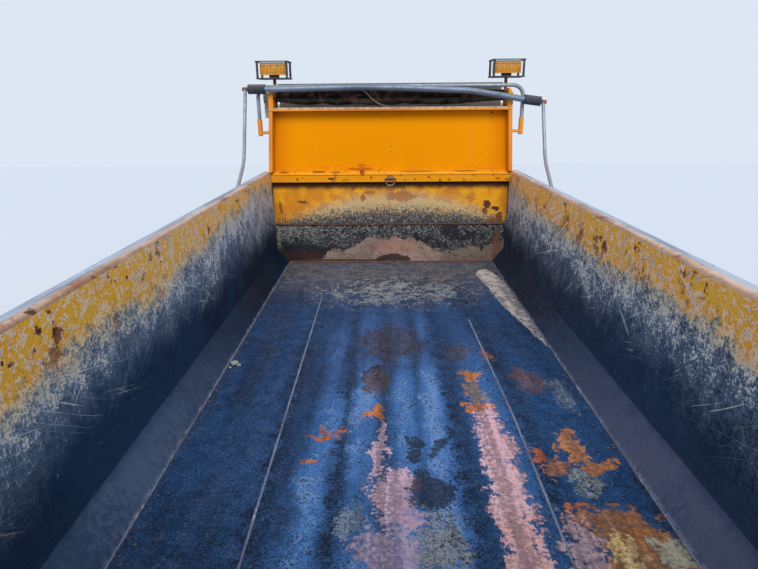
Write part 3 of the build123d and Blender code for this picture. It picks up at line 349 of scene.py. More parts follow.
# the floor that the loads slide over, places in metres across and ahead of the front wall
floorSetup = {
    # film and blue: the dark asphalt film, its blue partly a painted reflection of the sky
    "film": (6, 36, 72), "blue": (26, 74, 126), "polishAndSkyReflection": (68, 122, 190), "shine": (134, 172, 226),
    "pits": (5, 9, 16), "plum": (58, 60, 84),
    "lanes": [  # centre across and half width of the lanes that loads polish, and how bright
        (-0.335, 0.1, 0.9), (-0.165, 0.11, 1.0), (0.03, 0.1, 0.7), (0.185, 0.08, 0.9), (0.46, 0.13, 0.5)],
    "gaps": [  # centre across and half width of the dark lines between them
        (-0.235, 0.03), (0.285, 0.05), (-0.5, 0.05), (0.6, 0.05)],
    "patches": [  # centre across and ahead, half sizes, colour, how solid
        (-0.02, -1.8, 0.17, 0.26, (74, 62, 60), 0.6), (-0.107, -2.28, 0.05, 0.15, (92, 66, 54), 0.8),
        (0.39, -1.94, 0.07, 0.1, (90, 78, 84), 0.7), (0.407, -2.24, 0.055, 0.05, (200, 124, 60), 0.95),
        (0.425, -2.4, 0.05, 0.07, (160, 130, 100), 0.8), (0.417, -2.55, 0.07, 0.05, (206, 118, 44), 0.9),
        (0.43, -2.8, 0.062, 0.22, (216, 172, 180), 1.0), (0.415, -3.15, 0.068, 0.24, (222, 176, 184), 1.0),
        (0.42, -3.5, 0.06, 0.2, (214, 166, 166), 1.0), (0.555, -2.01, 0.026, 0.04, (176, 96, 60), 0.9),
        (-0.082, -2.88, 0.026, 0.16, (202, 168, 184), 0.85),
        (-0.03, -3.18, 0.065, 0.14, (204, 168, 184), 0.95),
        (-0.04, -3.46, 0.095, 0.12, (186, 162, 186), 0.75), (0.03, -3.22, 0.05, 0.1, (182, 152, 176), 0.7),
        (0.111, -3.15, 0.075, 0.095, (15, 21, 36), 0.85), (0.076, -2.91, 0.045, 0.065, (15, 21, 36), 0.8),
        (0.19, -2.87, 0.035, 0.05, (15, 21, 36), 0.8), (-0.105, -2.16, 0.035, 0.05, (24, 22, 26), 0.8),
        (-0.329, -2.79, 0.06, 0.026, (176, 92, 48), 1.0),
        (-0.343, -2.96, 0.03, 0.018, (190, 104, 46), 1.0),
        (-0.105, -2.63, 0.026, 0.045, (196, 112, 50), 1.0), (0.708, -2.29, 0.08, 0.13, (128, 84, 60), 0.6),
        (0.641, -3.01, 0.055, 0.045, (176, 112, 74), 0.9), (0.75, -2.88, 0.05, 0.1, (196, 128, 74), 0.9),
        (0.82, -3.02, 0.07, 0.05, (196, 124, 66), 0.9), (0.728, -3.1, 0.075, 0.04, (142, 152, 156), 0.95),
        (0.845, -2.45, 0.05, 0.15, (122, 138, 158), 0.75),
        (0.571, -2.92, 0.03, 0.036, (180, 96, 50), 0.9), (0.664, -3.22, 0.038, 0.036, (196, 108, 50), 0.9),
        (0.755, -3.36, 0.14, 0.1, (172, 112, 58), 0.9), (0.79, -3.52, 0.16, 0.16, (176, 116, 60), 0.95),
        (0.7, -3.41, 0.02, 0.06, (240, 190, 122), 0.9), (0.745, -3.5, 0.024, 0.07, (244, 200, 138), 0.9),
        (0.81, -3.56, 0.03, 0.05, (236, 184, 116), 0.85), (0.6, -3.46, 0.055, 0.15, (188, 158, 166), 0.9),
        (0.879, -3.45, 0.046, 0.05, (176, 172, 150), 0.95),
        (0.127, -3.4, 0.07, 0.115, (138, 140, 140), 0.85),
        (-0.183, -3.34, 0.026, 0.095, (126, 140, 158), 0.8)],
    "wedge": [  # metres ahead, inner and outer edge of the scraped wedge by the right wall
        (-0.24, 0.84, 0.845), (-0.3, 0.76, 0.88), (-0.407, 0.735, 0.905), (-0.575, 0.757, 0.94),
        (-0.77, 0.778, 0.944), (-1.09, 0.8, 0.946), (-1.31, 0.829, 0.948), (-1.54, 0.875, 0.948),
        (-1.74, 0.905, 0.948), (-1.9, 0.94, 0.948)],
}


def floorFinish(setup):
    skin = Skin("floorSteel")
    place, lay = skin.place, skin.lay
    wobble = place.shake((0.26, 0.42, 0.0), 8.0, 4.0, 0.65)
    spot = place - (0.0, inside["front"], inside["floor"]) + wobble
    across = place.part("X")
    ahead = place.part("Y") - inside["front"]
    bands = (place * (4.2, 0.5, 1.0)).noise(1.0, 3.0, 0.55)
    streaks = (place * (19.0, 0.9, 1.0)).rag(1.0, 4.0)
    broad = place.noise(1.7, 2.0)
    coarse, fine, grain = place.rags((15.0, 5.0, 0.66), (55.0, 4.0, 0.68), (120.0, 3.0, 0.7))
    # dark film mottled with a lighter blue that is partly a painted reflection of the sky
    filmy = (bands * 0.6 + broad * 0.4 + streaks * 0.06).rise(0.36, 0.6)
    skin.colour = filmy.over(setup["film"], setup["blue"])
    plum = across.rise(-0.35, -0.8) * (streaks + 0.5)
    lay(plum * 0.4, setup["plum"])
    # lanes that sliding loads polish, painted brighter blue as a reflection of the sky in their gloss,
    # stronger towards the rear
    bright = None
    for centre, half, level in setup["lanes"]:
        off = across + (bands - 0.5) * 0.1 + coarse * 0.02 - centre
        lane = off.away().rise(half * 1.5, 0.0) * level
        bright = lane if bright is None else bright.most(lane)
    rearward = ahead.rise(-0.9, -2.7)
    patchy = (place * (3.0, 1.4, 1.0)).noise(1.0, 4.0, 0.6).rise(0.34, 0.62)
    bright = bright * (0.22 + rearward * 0.78) * (0.92 + streaks * 0.16) * (0.5 + patchy * 0.7)
    lay((bright + coarse * 0.14).rise(0.08, 0.72), setup["polishAndSkyReflection"])
    lay((bright + coarse * 0.5 + fine * 0.15).rise(0.58, 0.95) * 0.55, setup["shine"])
    dark = None
    for centre, half in setup["gaps"]:
        off = across + coarse * 0.05 - centre
        gap = off.away().rise(half * 1.6, 0.0)
        dark = gap if dark is None else dark.most(gap)
    crust = (dark * rearward * 0.6 + coarse * 0.7 + fine * 0.4 + grain * 0.3).rise(0.62, 0.78)
    lay((dark * rearward * 0.45).most(crust * 0.9), setup["film"])
    # brown dust and chalk where the load first lands
    near = (ahead + (bands - 0.5) * 0.5 + coarse * 0.15).rise(-1.15, -0.35)
    mud = (coarse * 0.5 + fine * 0.5 + 0.5).rise(0.25, 0.75).over((76, 72, 76), (136, 127, 122))
    lay(near * 0.8, mud)
    wisps = lines(spot.noise(4.5, 5.0, 0.7), 0.022)
    landing = patch(spot, (0.05, -0.85, 0.0), (0.6, 0.32, 1.0), 0.6)
    clots = (landing * 0.62 + coarse * 0.8 + fine * 0.5).rise(0.62, 0.8)
    chalk = (wisps * landing * 0.9).most(clots * 0.8)
    lay(chalk, (180, 184, 182))
    stains = tear(landing * 0.55, place.rag(9.0, 4.0), fine, 0.9, 0.3)
    lay(stains * (1 - chalk) * 0.5, (40, 44, 54))
    bare = None
    for x, y, wide, long, shade, solid in setup["patches"]:
        mask = patch(spot, (x, y, 0.0), (wide, long, 1.0), 0.6)
        levels = tint(*shade)[:3]
        darker = (*(level * 0.56 for level in levels), 1.0)
        brighter = (*(min(level * 1.3, 0.9) for level in levels), 1.0)
        varied = (fine * 0.6 + streaks * 0.6 + 0.5).rise(0.15, 0.85).over(darker, brighter)
        torn = tear(mask, coarse * 0.6 + fine * 0.6, grain, 1.0, 0.5) * solid
        if levels[0] > 0.3:  # bare metal and rust have a stained rim and few pits
            lay(mask.rise(0.0, 0.6) * (fine + 0.5).rise(0.2, 0.7) * 0.45, (84, 66, 74))
            bare = torn if bare is None else bare.most(torn)
        lay(torn, varied)
    # the wedge that a shovel has scraped clean
    along = ahead * -0.5
    inner, outer = [
        along.node("ShaderNodeValToRGB", {"stops": [(-row[0] * 0.5, (row[edge],) * 3 + (1.0,))
                                                    for row in setup["wedge"]]}, {0: along})
        for edge in (1, 2)]
    wedge = (across + coarse * 0.018 + fine * 0.006 - inner.part("X")).rise(-0.004, 0.004)
    wedge = wedge * (outer.part("X") - across + coarse * 0.01).rise(-0.004, 0.004)
    wedge = wedge * ahead.rise(-0.22, -0.25) * ahead.rise(-1.93, -1.88)
    scraped = (coarse * 0.6 + streaks * 0.4 + 0.5).rise(0.25, 0.75)
    lay(wedge * 0.95, scraped.over((222, 212, 204), (164, 156, 156)))
    # rust creeping in along the walls and the foot of the front plate
    edge = across.away()
    rim = (edge + coarse * 0.02).rise(0.925, 0.955)
    rim = rim.most((ahead + coarse * 0.05).rise(-0.05, -0.01))
    lay(rim * 0.5, (92, 66, 58))
    ridge = edge.rise(0.938, 0.946) * edge.rise(0.958, 0.95) * (fine + 0.5).rise(0.2, 0.5)
    lay(ridge * 0.55, (138, 150, 168))
    # pitted film: pin holes all over, and clusters of them
    pin = place.rag(165.0, 2.0, 0.6)
    pits = (grain + coarse * 0.55 + dark * 0.25).rise(0.44, 0.52).most(pin.rise(0.3, 0.42) * 0.8)
    pits = pits * (1 - near * 0.5) * (1 - bare * 0.75)
    lay(pits * 0.9, setup["pits"])
    glint = (grain * -1.0 - coarse * 0.4).rise(0.34, 0.6) * (1 - near * 0.6)
    lay(glint * 0.22, (120, 146, 192))
    below = skin.facing.part("Z").rise(-0.3, -0.6)
    lay(below, (fine + 0.5).rise(0.3, 0.7).over((44, 42, 42), (78, 66, 56)))
    rough = 0.42 + fine * 0.16 + near * 0.2 + pits * 0.2
    relief = fine * 0.3 + grain * 0.4 + streaks * 0.1 + coarse * 0.35 - pits * 0.3
    return skin.done(rough, relief, 0.005, 0.85,
                     {"Specular IOR Level": 0.5, "Specular Tint": (0.5, 0.76, 1.0, 1.0)})


dress(floorFinish(floorSetup), "floor_plate")
print("floor finished")


# side walls: chipped yellow under the rail, speckled chalk, dark film, corner worn smooth
wallSetup = {
    "cornerTop": 0.132, "paintFoot": 0.692, "chalkFoot": 0.57,  # heights above the floor
    # film and haze: the asphalt film, its blue partly a painted reflection of the sky
    "film": (2, 28, 54), "haze": (22, 54, 88), "chalk": (148, 172, 200), "white": (238, 242, 244),
    "olive": (228, 216, 180), "yellow": (255, 192, 50), "deep": (246, 154, 12),
    "pale": (252, 244, 216), "steel": (96, 90, 84), "gun": (46, 68, 98), "gunPale": (78, 96, 124),
    "mauve": (90, 84, 108)}


def wallFinish(name, setup, side):
    skin = Skin(name)
    place, lay = skin.place, skin.lay
    ahead = place.part("Y") - inside["front"]
    up = place.part("Z") - inside["floor"]
    upright = (place * (1.0, 60.0, 8.0)).rag(1.0, 4.0, 0.66)
    drips = (place * (1.0, 14.0, 2.0)).rag(1.0, 3.0)
    coarse, fine, grain = place.rags((10.0, 5.0, 0.68), (40.0, 4.0, 0.7), (105.0, 3.0, 0.7))
    broad = place.rag(1.5, 2.0)
    frontal = ahead.rise(-1.1, -0.1)
    dither = grain * 0.55 + fine * 0.25 + upright * (0.15 + frontal * 0.35)
    # dark film in the middle of the wall, hazier low down and towards the rear, its blue partly a painted
    # reflection of the sky
    hazy = (broad * 0.5 + coarse * 0.2 + dither * 0.3 + 0.5).rise(0.25, 0.9)
    skin.colour = hazy.over(setup["film"], setup["haze"])
    if side > 0:
        lay((dither + coarse * 0.4 + 0.5).rise(0.2, 0.9) * 0.32, setup["gunPale"])
    low = up.rise(0.4, 0.16) * ahead.rise(-1.2, -2.8)
    lay(low * 0.5, setup["gun"])
    deepest = patch(place, (0, inside["front"] - 0.35, inside["floor"] + 0.36), (9.0, 0.34, 0.19), 0.8)
    lay(deepest * 0.7, (8, 16, 30))
    # chalky speckle fades out downwards
    foot = setup["chalkFoot"] + broad * 0.1 + drips * 0.04 - frontal * 0.06
    chalky = (up - foot).rise(-0.3, 0.12)
    veil = (chalky * ((0.98 if side < 0 else 0.72) + dither * 1.2 + coarse * 0.6)).least(1.0).most(0.0)
    lay(veil, setup["chalk"])
    speckle = (chalky * 0.66 + dither * 0.9 + coarse * 0.35).rise(0.46, 0.74)
    lay(speckle * (0.85 - frontal * 0.4), setup["white"])
    # paint that is left under the rail, scuffed away lower down near the front wall
    leftHand = 1.0 if side < 0 else 0.0
    brow = setup["paintFoot"] + broad * 0.07 + frontal * 0.02
    brow = brow - ahead.rise(-1.0, -3.0) * (0.035 + leftHand * 0.035)
    brow = brow + ahead.rise(-2.5, -0.8) * (leftHand * 0.05)
    scuffed = (up - brow).rise(-0.11, 0.11)
    olive = ((up - brow + 0.05).rise(-0.13, 0.1) * 1.1 + dither * 0.9 + coarse * 0.4).rise(0.25, 0.95)
    cream = (grain * 0.6 + coarse * 0.4 + 0.5).rise(0.2, 0.8).over((168, 160, 128), setup["olive"])
    lay(olive * chalky.rise(0.3, 0.6) * 0.8, cream)
    kept = (scuffed * 1.2 + coarse * 0.62 + dither * 0.6 + drips * 0.15).rise(0.36, 0.7)
    kept = kept * (1 - frontal * (0.45 + leftHand * 0.25) * (dither + 0.5).rise(0.3, 0.7))
    kept = kept * scuffed.rise(0.02, 0.2)
    paint = (coarse * 0.5 + fine * 0.5 + 0.5).rise(0.25, 0.75).over(setup["yellow"], setup["deep"])
    rubbed = (fine * 0.5 + dither * 0.5 + coarse * 0.3 + 0.5 + leftHand * 0.08).rise(0.46, 0.78)
    paint = (rubbed * 0.72).over(paint, setup["pale"])
    lay(kept, paint)
    bald = (coarse * 0.7 + fine * 0.45).rise(0.4, 0.5) * scuffed
    lay(bald * 0.7, (grain + 0.5).rise(0.3, 0.7).over(setup["steel"], setup["chalk"]))
    rusted = place.rag(7.0, 5.0, 0.72)
    ring = rusted.rise(0.33, 0.41) * scuffed * (1 - frontal)
    lay(ring * 0.55, (186, 112, 56))
    chips = rusted.rise(0.4, 0.46) * scuffed
    lay(chips, (fine + 0.5).rise(0.3, 0.7).over((70, 42, 32), (142, 80, 44)))
    # long thin scratches from sliding stone, at three slopes
    drifted = place + place.shake((0.0, 0.08, 0.08), 1.3, 2.0)
    for slope, sheer in ((20.0, 1.0), (38.0, 1.7), (-34.0, 1.3)):
        turned = drifted.node("ShaderNodeMapping", {},
                              {"Vector": drifted, "Rotation": (math.radians(slope), 0, 0)})
        thread = (turned * (1.0, 0.22, 24.0 * sheer)).noise(1.0, 1.0, 0.4)
        broken = (turned * (1.0, 1.6, 9.0)).noise(sheer, 3.0, 0.6).rise(0.53, 0.58)
        scored = lines(thread, 0.008) * broken * up.rise(0.22, 0.5)
        lay(scored * 0.7, setup["white"])
    # the folded corner is worn smooth towards the rear
    corner = (up + coarse * 0.03).rise(setup["cornerTop"] + 0.025, setup["cornerTop"] - 0.035)
    # painted shade on the folded corner towards the front wall
    lay(up.rise(0.16, 0.12) * ahead.rise(-2.2, -0.9) * 0.65, (2, 14, 32))
    gun = (broad * 0.4 + fine * 0.4 + 0.5).rise(0.25, 0.75).over(setup["gun"], setup["gunPale"])
    if side > 0:
        gun = ((broad + 0.5).rise(0.2, 0.8) * 0.55).over(gun, setup["mauve"])
    worn = corner * (ahead + broad * 0.5 + coarse * 0.25 + up * 3.0).rise(-1.4, -2.8)
    lay(worn * 0.8, gun)
    foam = (up + coarse * 0.008).rise(0.014, 0.004) * (fine + 0.5).rise(0.2, 0.6)
    lay(foam * 0.6, (132, 142, 158))
    ends = skin.facing.part("Y")
    outside = (skin.facing.part("X") * side).rise(0.05, 0.15).most(ends.away().rise(0.5, 0.7))
    outside = outside.most(ahead.rise(0.006, 0.014))  # past the front plate nothing rubs
    lay(outside, outerPaint(place))
    rough = 0.54 + fine * 0.14 - worn * 0.14
    relief = fine * 0.3 * (1 - worn * 0.7) + upright * 0.12 + grain * 0.4 * (1 - worn * 0.6) - bald * 0.3
    return skin.done(rough, relief, 0.004, 0.8,
                     {"Specular IOR Level": 0.35, "Specular Tint": (0.55, 0.76, 1.0, 1.0)})


dress(wallFinish("wallSteelLeft", wallSetup, -1), "side_sheet_left")
dress(wallFinish("wallSteelRight", wallSetup, 1), "side_sheet_right")
print("side walls finished")

# front wall: two plates, the upper one still part painted
frontSetup = {
    "seam": 0.363, "top": 0.75,  # heights above the floor
    "paint": (228, 156, 10), "paintDeep": (206, 130, 10), "pale": (190, 172, 132),
    "stone": (176, 178, 176), "black": (22, 26, 34), "blue": (56, 66, 82),
    "flecks": [  # centre across and above the floor, half sizes, colour, how solid
        (0.08, 0.615, 0.11, 0.04, (146, 80, 40), 0.65), (-0.25, 0.6, 0.02, 0.03, (130, 70, 36), 0.7),
        (-0.32, 0.69, 0.03, 0.022, (156, 86, 40), 0.6),
        (-0.468, 0.61, 0.05, 0.03, (190, 116, 70), 0.4),
        (-0.19, 0.65, 0.045, 0.02, (150, 84, 46), 0.7), (-0.8, 0.565, 0.04, 0.012, (70, 46, 34), 0.8),
        (0.73, 0.61, 0.045, 0.04, (160, 92, 40), 0.55), (0.88, 0.54, 0.03, 0.03, (84, 48, 30), 1.0),
        (0.96, 0.5, 0.03, 0.022, (74, 42, 28), 1.0), (0.86, 0.48, 0.02, 0.022, (96, 56, 34), 0.9),
        (0.99, 0.42, 0.026, 0.05, (112, 60, 30), 0.9), (0.93, 0.4, 0.04, 0.016, (120, 64, 32), 0.8),
        (-1.0, 0.52, 0.012, 0.05, (120, 64, 30), 0.8)],
    "hill": [  # share of the width, height above the floor that is rubbed bare
        (0.0, 0.0), (0.17, 0.03), (0.2, 0.085), (0.27, 0.125), (0.355, 0.165), (0.395, 0.235),
        (0.47, 0.245), (0.54, 0.225), (0.6, 0.235), (0.66, 0.165), (0.73, 0.105), (0.8, 0.095),
        (0.86, 0.155), (0.92, 0.125), (0.97, 0.19), (1.0, 0.2)],
    "bare": (118, 98, 88), "pink": (168, 140, 128), "blood": (54, 26, 26), "dust": (146, 144, 138)}


def upperPlateFinish(setup):
    skin = Skin("upperPlate")
    place, lay = skin.place, skin.lay
    across = place.part("X")
    up = place.part("Z") - inside["floor"]
    coarse, fine, grain = place.rags((13.0, 5.0, 0.68), (45.0, 4.0, 0.7), (112.0, 3.0, 0.7))
    broad = place.rag(3.0, 2.0)
    bow = (across - 0.05) * (across - 0.05)
    paint = (broad + coarse * 0.4 + 0.5).rise(0.2, 0.8).over(setup["paint"], setup["paintDeep"])
    # dust, then stone chips that lie thicker towards the seam
    brow = 0.7 - bow * 0.26
    dusty = (brow - up).rise(-0.09, 0.13)
    skin.colour = ((dusty + grain * 0.6 + coarse * 0.4).rise(0.4, 1.0) * 0.85).over(paint, setup["pale"])
    brown = (brow + 0.03 - up).rise(-0.03, 0.02) * (up - brow + 0.09).rise(-0.03, 0.02)
    lay((brown + coarse * 0.9 + fine * 0.5).rise(0.85, 1.1) * 0.4, (176, 104, 40))
    deep = 0.49 - bow * 0.1
    thick = (deep - up).rise(-0.13, 0.1)
    speckle = (thick + grain * 0.75 + fine * 0.35).rise(0.46, 0.62)
    lay(speckle * 0.95, (fine + 0.5).rise(0.3, 0.8).over(setup["black"], setup["blue"]))
    light = (grain * -0.8 + fine * 0.4).rise(0.3, 0.42) * thick
    lay(light * 0.8, setup["stone"])
    flat = place * (1.0, 0.0, 1.0) - (0.0, 0.0, inside["floor"])
    flat = flat + place.shake((0.05, 0.0, 0.05), 9.0, 3.0)
    stain(skin, flat, setup["flecks"], 0.7, coarse, fine, 0.6)
    # painted shadow that the ledge casts across the top of the plate
    shade = (up + coarse * 0.012).rise(setup["top"] - 0.09, setup["top"] - 0.036)
    lay(shade * 0.92, (48, 22, 6))
    seam = (up + fine * 0.006).rise(setup["seam"] + 0.012, setup["seam"] + 0.004)
    lay(seam * 0.9, (66, 38, 24))
    lay(skin.facing.part("Y").rise(0.3, 0.6), outerPaint(place))
    rough = 0.5 + fine * 0.16 + speckle * 0.15
    relief = fine * 0.3 + grain * 0.5 + coarse * 0.2
    return skin.done(rough, relief, 0.004, 0.8, {"Specular IOR Level": 0.25})


def lowerPlateFinish(setup):
    skin = Skin("lowerPlate")
    place, lay = skin.place, skin.lay
    across = place.part("X")
    up = place.part("Z") - inside["floor"]
    coarse, fine, grain = place.rags((11.0, 5.0, 0.68), (40.0, 4.0, 0.7), (105.0, 3.0, 0.7))
    broad = place.rag(2.4, 2.0)
    # stone chips in old film, paler at the left end
    skin.colour = (grain + coarse * 0.3 + 0.5).rise(0.35, 0.75).over(setup["black"], (74, 76, 78))
    left = across.rise(-0.45, -0.85) * up.rise(0.16, 0.3)
    stone = (grain + fine * 0.5 + left * 0.22 + up.rise(0.12, 0.36) * 0.16).rise(0.34, 0.48)
    lay(stone * 0.9, setup["dust"])
    crust = (place * (1.0, 1.0, 1.5)).rag(6.0, 4.0, 0.66)
    heavy = (crust * 0.8 + across.rise(0.1, 0.5) * 0.3 + across.rise(-0.3, -0.6) * up.rise(0.22, 0.12) * 0.6)
    lay((heavy + fine * 0.3).rise(0.3, 0.42) * 0.9, (14, 18, 28))
    # bare metal that a loader's bucket has polished, high in the middle
    share = across * 0.5 + 0.5
    profile = [(at, (high * 2, high * 2, high * 2, 1.0)) for at, high in setup["hill"]]
    hill = share.node("ShaderNodeValToRGB", {"stops": profile}, {0: share}).part("X") * 0.5
    bare = (hill - up + coarse * 0.045 + fine * 0.03 + grain * 0.012).rise(-0.003, 0.006)
    rubbed = (grain * 0.3 + fine * 0.3 + coarse * 0.5 + broad * 0.4 + 0.5).rise(0.2, 0.9)
    rubbed = rubbed.over(setup["bare"], setup["pink"])
    scabs = (grain * 0.5 + coarse * 0.6 + fine * 0.4).rise(0.34, 0.44)
    rubbed = (scabs * 0.7).over(rubbed, (66, 50, 48))
    rubbed = ((across.rise(0.35, 0.6) + grain * 0.5).rise(0.4, 0.9) * 0.8).over(rubbed, (120, 104, 92))
    lay(bare * 0.86, rubbed)
    ember = patch(place, (0.05, inside["front"], inside["floor"] + 0.15), (0.22, 1.0, 0.08), 0.7)
    lay((ember + coarse * 0.6).rise(0.5, 0.9) * bare * 0.3, (172, 112, 84))
    red = across.rise(-0.6, -0.7) * up.rise(0.115, 0.095) + across.rise(0.05, -0.1) * up.rise(0.034, 0.022)
    lay(tear(red.least(1.0), coarse, fine, 0.5, 0.4) * 0.9, setup["blood"])
    blot = patch(place, (0.02, inside["front"], inside["floor"] + 0.02), (0.15, 1.0, 0.055), 0.4)
    lay(tear(blot, coarse, fine, 0.5, 0.4) * 0.9, (40, 26, 26))
    spatter = across.rise(0.32, 0.5) * up.rise(0.11, 0.05) * 0.45 + grain * 0.6 + fine * 0.5
    lay(spatter.rise(0.55, 0.68) * 0.8, (70, 46, 36))
    rusty = patch(place, (0.985, inside["front"], inside["floor"] + 0.14), (0.04, 1.0, 0.13), 0.6)
    lay(tear(rusty, coarse, fine, 1.0, 0.7) * 0.6, (112, 68, 42))
    strip = (across + coarse * 0.03).rise(-1.01, -1.03) * up.rise(0.12, 0.16) * (fine + 0.5).rise(0.2, 0.6)
    lay(strip * 0.5, (176, 158, 124))
    foot = (up + fine * 0.01).rise(0.02, 0.008)
    lay(foot * 0.85, (110, 68, 48))
    lay(skin.facing.part("Y").rise(0.3, 0.6), outerPaint(place))
    rough = 0.5 + fine * 0.16 - bare * 0.06
    relief = fine * 0.35 * (1 - bare * 0.5) + grain * 0.5 * (1 - bare * 0.7) + coarse * 0.2 - bare * 0.2
    return skin.done(rough, relief, 0.005, 0.8, {"Specular IOR Level": 0.3})


dress(upperPlateFinish(frontSetup), "front_upper_plate")
dress(lowerPlateFinish(frontSetup), "front_lower_plate")


# riser and ledge: even orange, rusty only where water stands on the ledge
riserSetup = {
    "ledgeTop": 1.151, "crease": 1.123,
    "orange": (232, 144, 0), "deep": (208, 116, 2), "slope": (232, 164, 44), "rust": (122, 66, 28),
    "marks": [  # centre across and height, half sizes, colour, how solid
        (-0.265, 1.168, 0.09, 0.013, (176, 88, 24), 0.75),
        (-0.25, 1.198, 0.035, 0.014, (186, 96, 26), 0.6), (-0.25, 1.135, 0.02, 0.02, (126, 62, 28), 0.8),
        (-0.006, 1.368, 0.014, 0.005, (130, 88, 40), 0.7), (0.012, 1.316, 0.01, 0.005, (130, 88, 40), 0.7),
        (0.883, 1.647, 0.009, 0.009, (40, 26, 20), 0.9), (-0.95, 1.141, 0.05, 0.0055, (100, 56, 28), 0.75),
        (-0.635, 1.145, 0.055, 0.006, (104, 58, 28), 0.75),
        (-0.495, 1.141, 0.045, 0.0055, (104, 58, 28), 0.75), (0.23, 1.144, 0.14, 0.005, (150, 92, 34), 0.7),
        (0.68, 1.146, 0.09, 0.005, (150, 92, 34), 0.7), (-0.53, 1.092, 0.025, 0.009, (84, 46, 26), 0.9),
        (-0.17, 1.1, 0.01, 0.012, (110, 60, 30), 0.8), (0.22, 1.085, 0.01, 0.01, (120, 70, 34), 0.7),
        (0.95, 1.09, 0.022, 0.008, (110, 64, 30), 0.8)]}


def riserFinish(setup):
    skin = Skin("riserPaint")
    place, lay = skin.place, skin.lay
    across = place.part("X")
    up = place.part("Z")
    broad, coarse, fine = place.rags((1.3, 2.0), (14.0, 4.0, 0.66), (48.0, 4.0, 0.68))
    grain = place.noise(150.0, 2.0)
    rain = (place * (16.0, 1.0, 0.8)).noise(1.0, 4.0, 0.6)
    # deeper orange towards both ends is painted shade in the corners beside the posts
    sides = across.away().rise(0.78, 1.02)
    skin.colour = (broad * 0.25 + sides * 0.5 + 0.1).rise(0.0, 1.0).over(setup["orange"], setup["deep"])
    lay(rain.rise(0.55, 0.75) * 0.12, (214, 150, 60))
    # the sloping top of the ledge is chalked yellow, its edge is a dark line
    crease, ledgeTop = setup["crease"], setup["ledgeTop"]
    slope = up.rise(crease - 0.003, crease + 0.003) * up.rise(ledgeTop + 0.01, ledgeTop)
    lay(slope * (0.75 + coarse * 0.5), setup["slope"])
    face = up.rise(crease, crease - 0.006)
    lay(face * (0.35 + coarse * 0.5), (214, 152, 44))
    line = (up + fine * 0.002 - crease).away().rise(0.0042, 0.0022)
    lay(line * 0.8, (110, 62, 24))
    dirt = up.rise(ledgeTop + 0.09, ledgeTop) * (coarse + 0.5).rise(0.3, 0.8) * (1 - slope) * (1 - face)
    lay(dirt * 0.3, (176, 104, 34))
    shelf = up.rise(ledgeTop + 0.008, ledgeTop - 0.004)
    chips = (place * (1.0, 1.0, 1.6)).rag(13.0, 4.0, 0.7)
    lay((chips + fine * 0.25).rise(0.42, 0.5) * shelf, setup["rust"])
    flat = place * (1.0, 0.0, 1.0) + place.shake((0.03, 0.0, 0.012), 14.0, 3.0)
    stain(skin, flat, setup["marks"], 0.6, coarse, fine, 0.5)
    rough = 0.4 + fine * 0.1
    relief = fine * 0.3 + grain * 0.15 + coarse * 0.2
    return skin.done(rough, relief, 0.001, 0.6,
                     {"Specular IOR Level": 0.12, "Specular Tint": (1.0, 0.72, 0.35, 1.0)})


riserPaint = riserFinish(riserSetup)
dress(riserPaint, "shield_riser", "front_ledge")
print("front wall and riser finished")


# rails: paint rubbed off the top, dusty and rusty
def railFinish():
    skin = Skin("railPaint")
    place, lay = skin.place, skin.lay
    fine = place.noise(30.0, 6.0, 0.7)
    broad = place.noise(2.6, 3.0)
    grain = place.noise(160.0, 3.0)
    top = skin.facing.part("Z").rise(0.35, 0.8)
    long = (place * (20.0, 1.3, 20.0)).noise(1.0, 4.0, 0.65)
    skin.colour = broad.rise(0.4, 0.65).over(paints["orange"], paints["deepOrange"])
    dusty = (long * 0.5 + fine * 0.5).rise(0.38, 0.6).over((150, 122, 104), (206, 182, 164))
    rusty = (fine * 0.5 + broad * 0.5).rise(0.52, 0.6)
    worn = rusty.over(dusty, (136, 84, 52))
    lay(top * 0.92, worn)
    across = place.part("X")
    outer = (across.away() + fine * 0.02).rise(1.106, 1.118) * top
    lay(outer * 0.8, long.rise(0.4, 0.6).over((104, 128, 158), (158, 180, 204)))
    inner = (across.away() + fine * 0.01).rise(1.082, 1.076) * top
    lay(inner * 0.5, (96, 84, 80))
    chips = place.noise(8.0, 6.0, 0.7).rise(0.64, 0.68)
    lay(chips, fine.rise(0.4, 0.6).over(paints["darkRust"], paints["rust"]))
    return skin.done(0.5 + fine * 0.25, fine * 0.5 + grain * 0.2, 0.0015, 0.7)


dress(railFinish(), "top_rail_left", "top_rail_right")


# metals and small parts: a second shade and spots over the first
metalSetup = {"scale": 40.0, "broad": 5.0, "edge": (0.42, 0.6), "spots": None, "spotFrom": 0.62, "dust": 0.3,
              "painted": None, "rough": 0.5, "metal": 0.0, "depth": 0.0008}


def plainMetal(name, first, second, changes):
    setup = {**metalSetup, **changes}
    skin = Skin(name)
    place, lay = skin.place, skin.lay
    fine = place.noise(setup["scale"], 5.0, 0.65)
    broad = place.noise(setup["broad"], 3.0)
    grain = place.noise(260.0, 2.0)
    mix = (fine * 0.5 + broad * 0.5).rise(*setup["edge"])
    skin.colour = mix.over(first, second)
    if setup["spots"]:
        spotted = place.noise(30.0, 6.0, 0.7).rise(setup["spotFrom"], setup["spotFrom"] + 0.05)
        lay(spotted, setup["spots"])
    up = skin.facing.part("Z").rise(0.3, 0.9) * fine.rise(0.3, 0.6) * setup["dust"]
    lay(up, paints["dust"])
    if setup["painted"]:  # the face that looks outwards
        axis, way = setup["painted"]
        lay((skin.facing.part(axis) * way).rise(0.3, 0.6), outerPaint(place))
    rough = setup["rough"] + fine * 0.2 + up * 0.2
    metal = setup["metal"] * (1 - mix * 0.5) * (1 - up)
    return skin.done(rough, fine * 0.6 + grain * 0.25, setup["depth"], 0.7, {"Metallic": metal})


